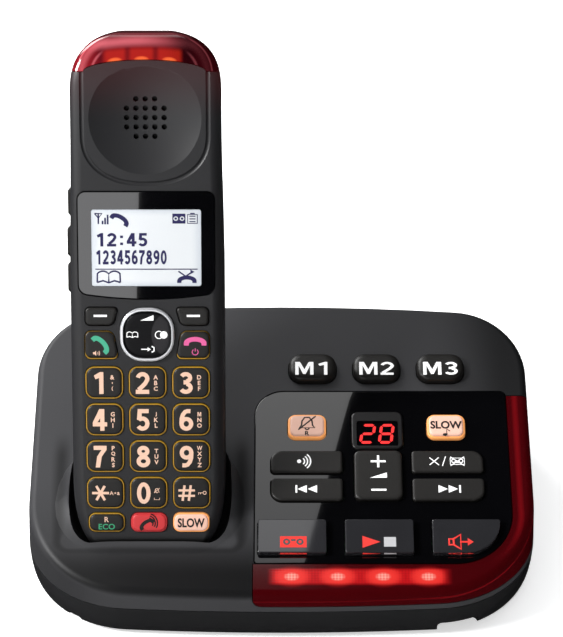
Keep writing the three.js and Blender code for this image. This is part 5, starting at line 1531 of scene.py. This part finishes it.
DECK_KEYS = {}
for index in range(3):
    spot = (MEMORY_KEY["x"] + (index - 1) * MEMORY_KEY["pitch"], MEMORY_KEY["t"])
    DECK_KEYS["memory_key_%d" % (index + 1)] = (MEMORY_KEY, spot, None)
DECK_KEYS["ringer_key"] = (TINTED_KEY, (TINTED_KEY["left"], TINTED_KEY["t"]), None)
DECK_KEYS["slow_play_key"] = (TINTED_KEY, (TINTED_KEY["right"], TINTED_KEY["t"]), None)
upper_row = WIDE_KEY["t"] + WIDE_KEY["pitch"]
DECK_KEYS["locator_key"] = (WIDE_KEY, (WIDE_KEY["left"], upper_row), 3)
DECK_KEYS["previous_key"] = (WIDE_KEY, (WIDE_KEY["left"], WIDE_KEY["t"]), 0)
DECK_KEYS["erase_key"] = (WIDE_KEY, (WIDE_KEY["right"], upper_row), 2)
DECK_KEYS["next_key"] = (WIDE_KEY, (WIDE_KEY["right"], WIDE_KEY["t"]), 1)
DECK_KEYS["volume_rocker"] = (VOLUME_KEY, (VOLUME_X, VOLUME_T), None)
for index, name in enumerate(("answer_key", "play_stop_key", "speaker_key")):
    spot = (LARGE_KEY["x"] + (index - 1) * LARGE_KEY["pitch"], LARGE_KEY["t"])
    DECK_KEYS[name] = (LARGE_KEY, spot, 1 if index == 2 else None)


def deck_openings(names, low, high):
    tools = []
    for name in names:
        sizes, (x, t), swept = DECK_KEYS[name]
        corners = box_corners(sizes["width"] + 2 * GAP, sizes["height"] + 2 * GAP, x, t)
        radii = [radius + GAP for radius in swept_radii(sizes, swept)]
        tools.append(plate("opening", corners, radii, low, high))
    return joined("openings", tools)


def counter_corners(grow=0.0):
    return box_corners(COUNTER["width"] + 2 * grow, COUNTER["height"] + 2 * grow, VOLUME_X, COUNTER["t"])


def make_upper_housing():
    block = upper_block("upper_housing_form")
    lens = copied(block, "light_bar")
    cut(block, collar_block(), "UNION")
    cut(block, backrest_block(), "UNION")
    cut(block, settle(handset_body("pocket", cradle_grow), HANDSET))
    cut(block, settle(plate("recess", panel_corners(GAP), panel_radii(GAP), -PANEL["thick"] - GAP, 9, turns=12), DECK))
    cut(block, settle(deck_openings(DECK_KEYS, -6, 9), DECK))
    cut(block, settle(plate("recess", counter_corners(GAP), COUNTER["corner"] + GAP, -6, 9), DECK))
    cut(block, lens_tool(GAP))
    for x, width, height in ((26, 13.4, 11.6), (8, 9, 11)):
        size = (width / 2 + GAP, height / 2 + GAP)
        cut(block, box_tool((x - size[0], 30, 24 - size[1]), (x + size[0], 70, 24 + size[1])))
    finished(block, "base", housing_deck, ["upper_housing"])
    cut(lens, lens_tool(0), "INTERSECT")
    finished(lens, "base", lens_red, ["light_lens"])


def make_lower_housing():
    block = lower_block("lower_housing_form")
    front = PLAN_Y - BASE_DEPTH / 2
    for x, width, height in ((16.2 - BASE_WIDTH / 2, 6, 2.4), (BASE_WIDTH / 2 - 27.6, 14, 4.6)):
        near = front + BOTTOM_TAPER + 60 * max(0, abs(x) / (BASE_WIDTH / 2) - 0.62) ** 2
        tool = plate("notch", box_corners(width, 14, x, near), 2.4, -2, FOOT_RISE + height, 1.6)
        cut(block, tool)
    feet = []
    for x in (23.4 - BASE_WIDTH / 2, BASE_WIDTH / 2 - 23.4):
        for y in (front + 22.3, front + BASE_DEPTH - 20.3):
            profile = [(0, 0), (5.4, 0), (5.85, 0.2), (6, 0.6), (6, 1.7), (0, 1.7)]
            feet.append(shifted(turned("foot", profile, 32), x, y))
    slots = [plate("slot", box_corners(26, 2, VOLUME_X, PLAN_Y + 2 + (i - 2) * 5), 0.95, -3, 8) for i in range(5)]
    cut(block, joined("slots", slots))
    cut(block, joined("feet", feet), "UNION")
    finished(block, "base", housing_low, ["lower_housing"])


def make_control_panel():
    panel = plate("control_panel_plate", panel_corners(), panel_radii(), -PANEL["thick"], 0, 0.25, 12, 2)
    names = [name for name in DECK_KEYS if not name.startswith("memory")]
    cut(panel, deck_openings(names, -5, 5))
    cut(panel, plate("opening", counter_corners(GAP), COUNTER["corner"] + GAP, -5, 5))
    finished(settle(panel, DECK), "base", gloss, ["control_panel"])


SEGMENTS = {
    "a": ((0, 1), (1, 1)), "b": ((1, 1), (1, 0.5)), "c": ((1, 0.5), (1, 0)), "d": ((0, 0), (1, 0)),
    "e": ((0, 0), (0, 0.5)), "f": ((0, 0.5), (0, 1)), "g": ((0, 0.5), (1, 0.5)),
}


def segment(name, x, y, width, height, slant):
    """One lamp bar of a figure, with pointed ends."""
    (ax, ay), (bx, by) = SEGMENTS[name]
    start, end = Vector((ax * width, ay * height)), Vector((bx * width, by * height))
    along = (end - start).normalized()
    side = Vector((-along.y, along.x)) * 0.5
    start, end = start + along * 0.22, end - along * 0.22
    shape = [start, start + along * 0.5 + side, end - along * 0.5 + side, end, end - along * 0.5 - side, start + along * 0.5 - side]
    return patch([(x + point.x + slant * point.y, y + point.y) for point in shape])


def make_message_display():
    rise = COUNTER["rise"]
    bezel = plate("message_bezel", counter_corners(), COUNTER["corner"], -4.1, rise, 0.6, steps=4)
    width, height = COUNTER["window"]
    middle = COUNTER["t"] - 1.3
    window = box_corners(width, height, VOLUME_X, middle)
    cut(bezel, plate("window", window, 0.8, rise - 1.7, 5))
    finished(settle(bezel, DECK), "base", bezel_black, ["message_display"])
    glass = plate("message_glass", shrunk(window, 0.04), 0.8, rise - 1.6, rise - 0.45, 0.1)
    finished(settle(glass, DECK), "base", gloss)
    lit = {0: "abged", 1: "abcdefg"}
    for index, segments in lit.items():
        x = VOLUME_X - 5.9 + index * 6.5
        shapes = [segment(name, x, middle - 3.5, 4.1, 7.0, 0.14) for name in segments]
        legend("message_figure_%d" % (index + 1), shapes, DECK, rise - 0.45, "base", digit_red)


def deck_key_cap(name, finish, edge, inset=0.0, lowered=0.0, crown=0.05, label="_cap"):
    sizes, (x, t), swept = DECK_KEYS[name]
    corners = shrunk(box_corners(sizes["width"], sizes["height"]), inset)
    radii = [max(radius - inset, 0.5) for radius in swept_radii(sizes, swept)]
    rise = sizes["rise"] - lowered
    cap = plate(name + label, corners, radii, -DECK_KEY_DEPTH, rise - crown, edge, 8, 4)
    if crown:
        pick(cap, "FACE", lambda face: face.normal.z > 0.99 and face.area > 9 * MM * MM)
        bpy.ops.mesh.inset(thickness=min(1.4, 0.6 * (min(radii) - edge)) * MM)
        bpy.ops.transform.translate(value=(0, 0, crown * MM))
        bpy.ops.object.mode_set(mode="OBJECT")
    return finished(settle(cap, at(DECK, x, t)), name, finish, [name] if label == "_cap" else [])


def deck_legend(name, shapes, finish, label="_legend", sunk=0.0):
    sizes, (x, t), _ = DECK_KEYS[name]
    return legend(name + label, shapes, at(DECK, x, t), sizes["rise"] - sunk, name, finish)


def make_memory_keys():
    for index in range(3):
        name = "memory_key_%d" % (index + 1)
        deck_key_cap(name, key_black, 1.7, crown=0.3)
        deck_legend(name, figures("M%d" % (index + 1), 5.4, 0, -1.3, 0.155, 1.42), ink_white)


def make_tinted_keys():
    for name in ("ringer_key", "slow_play_key"):
        deck_key_cap(name, peach_key, 0.7, 0.7)
        deck_key_cap(name, peach_side, 0.5, 0.0, 0.75, 0, "_skirt")
    deck_legend("ringer_key", bell(0, 0.9, 2.65) + [flat_text("R", 1.8, 0, -3.3, bold=0.02)], ink_black)
    note = [patch(oval(-0.5, -3.9, 0.75, 0.6)[:-1]), stroke([(0.15, -3.9), (0.15, -1.6), (1.3, -2.5)], 0.38)]
    deck_legend("slow_play_key", [flat_text("SLOW", 3.2, 0, 0.1, 0.92, 0.03)] + note, ink_black)


def make_wide_keys():
    for name in ("locator_key", "previous_key", "erase_key", "next_key"):
        deck_key_cap(name, key_black, 0.6)
    dot = [patch(arc(-2.6, 0, 0.75, 0, 360, 12)[:-1])]
    deck_legend("locator_key", dot + waves(-2.2, 0, 1.0, -50, 50, 3, 1.5, 1.05, 0.5), ink_white)
    back = [square(-3.6, 0, 0.6, 3.0), triangle(-1.6, 0, 3.2, 3.0, -1), triangle(1.9, 0, 3.2, 3.0, -1)]
    deck_legend("previous_key", back, ink_white)
    onward = [square(3.9, 0, 0.6, 3.0), triangle(-1.9, 0, 3.2, 3.0), triangle(1.6, 0, 3.2, 3.0)]
    deck_legend("next_key", onward, ink_white)
    cross = [stroke([(-6.2, -1.5), (-3.0, 1.5)], 0.4), stroke([(-6.2, 1.5), (-3.0, -1.5)], 0.4), stroke([(-1.8, -1.9), (-0.6, 1.9)], 0.35)]
    tape = tape_sign(3.4, 0, 1.35, 0.35) + [stroke([(1.0, -1.8), (5.8, 1.8)], 0.35), stroke([(1.0, 1.8), (5.8, -1.8)], 0.35)]
    deck_legend("erase_key", cross + tape, ink_white)


def make_volume_rocker():
    deck_key_cap("volume_rocker", key_black, 0.7)
    plus = [square(0, 5.2, 5.2, 0.75), square(0, 5.2, 0.75, 4.8)]
    signs = plus + [patch([(-2.9, -1.4), (2.9, -1.4), (2.9, 0.7)]), square(0, -6.2, 5.2, 0.75)]
    deck_legend("volume_rocker", signs, ink_white)


def make_large_keys():
    """Thick clear caps with a print beneath. A squashed copy of the print is painted on the front wall as its image
    seen through the clear plastic.
    """
    for name in ("answer_key", "play_stop_key", "speaker_key"):
        deck_key_cap(name, clear_cap, 0.35, crown=0.0)
    signs = {
        "tape": ("answer_key", ink_red, lambda: tape_block(0.4, 0, 2.25)),
        "play": ("play_stop_key", ink_red, lambda: [triangle(-2.8, 0, 6.0, 4.6)]),
        "stop": ("play_stop_key", ink_grey, lambda: [square(3.5, 0, 4.1, 3.7)]),
        "loud": ("speaker_key", ink_red, lambda: loudspeaker_sign(-3.0, 0, 2.2, 0.8)
                 + [stroke([(-2.4, 0), (0.9, 0)], 0.7), triangle(1.2, 0, 2.0, 2.9)]),
    }
    for label, (name, finish, shapes) in signs.items():
        sizes, (x, t), _ = DECK_KEYS[name]
        rise = sizes["rise"]
        legend("%s_%s" % (name, label), shapes(), at(DECK, x, t - 2.4), rise, name, finish)
        # Painted reflection: the print's image through the clear front wall, drawn as a squashed copy.
        wall = at(DECK, x, t - sizes["height"] / 2) @ Matrix.Rotation(math.pi / 2, 4, "X")
        low = wall @ Matrix.Translation((0, (rise - 0.75) * MM, 0)) @ Matrix.Diagonal((1, 0.2, 1, 1))
        legend("%s_%s_again" % (name, label), shapes(), low, 0, name, finish)


make_upper_housing()
make_lower_housing()
make_control_panel()
make_message_display()
make_memory_keys()
make_tinted_keys()
make_wide_keys()
make_volume_rocker()
make_large_keys()

# ---- the rest of the CAD nodes keep their shape and get their finish

NODE_FINISHES = {
    "handset_rear_shell": housing, "battery_cover": housing, "lcd_module": socket_black,
    "battery_left": sleeve, "battery_right": sleeve, "handset_contact_left": contact_metal,
    "handset_contact_right": contact_metal, "receiver": socket_black, "keypad_mat": silicone,
    "handset_board": board_green, "main_board": board_green, "line_jack": socket_black,
    "power_jack": socket_black, "charge_pin_left": contact_metal, "charge_pin_right": contact_metal,
    "speaker": steel, "side_key": key_black, "side_volume_rocker": key_black, "upper_housing": housing,
    "lower_housing": housing_low, "light_lens": lens_red, "control_panel": gloss, "message_display": gloss,
    "nav_ring": chrome,
}
for name, finish in NODE_FINISHES.items():
    dress(frame["nodes"][name], finish)
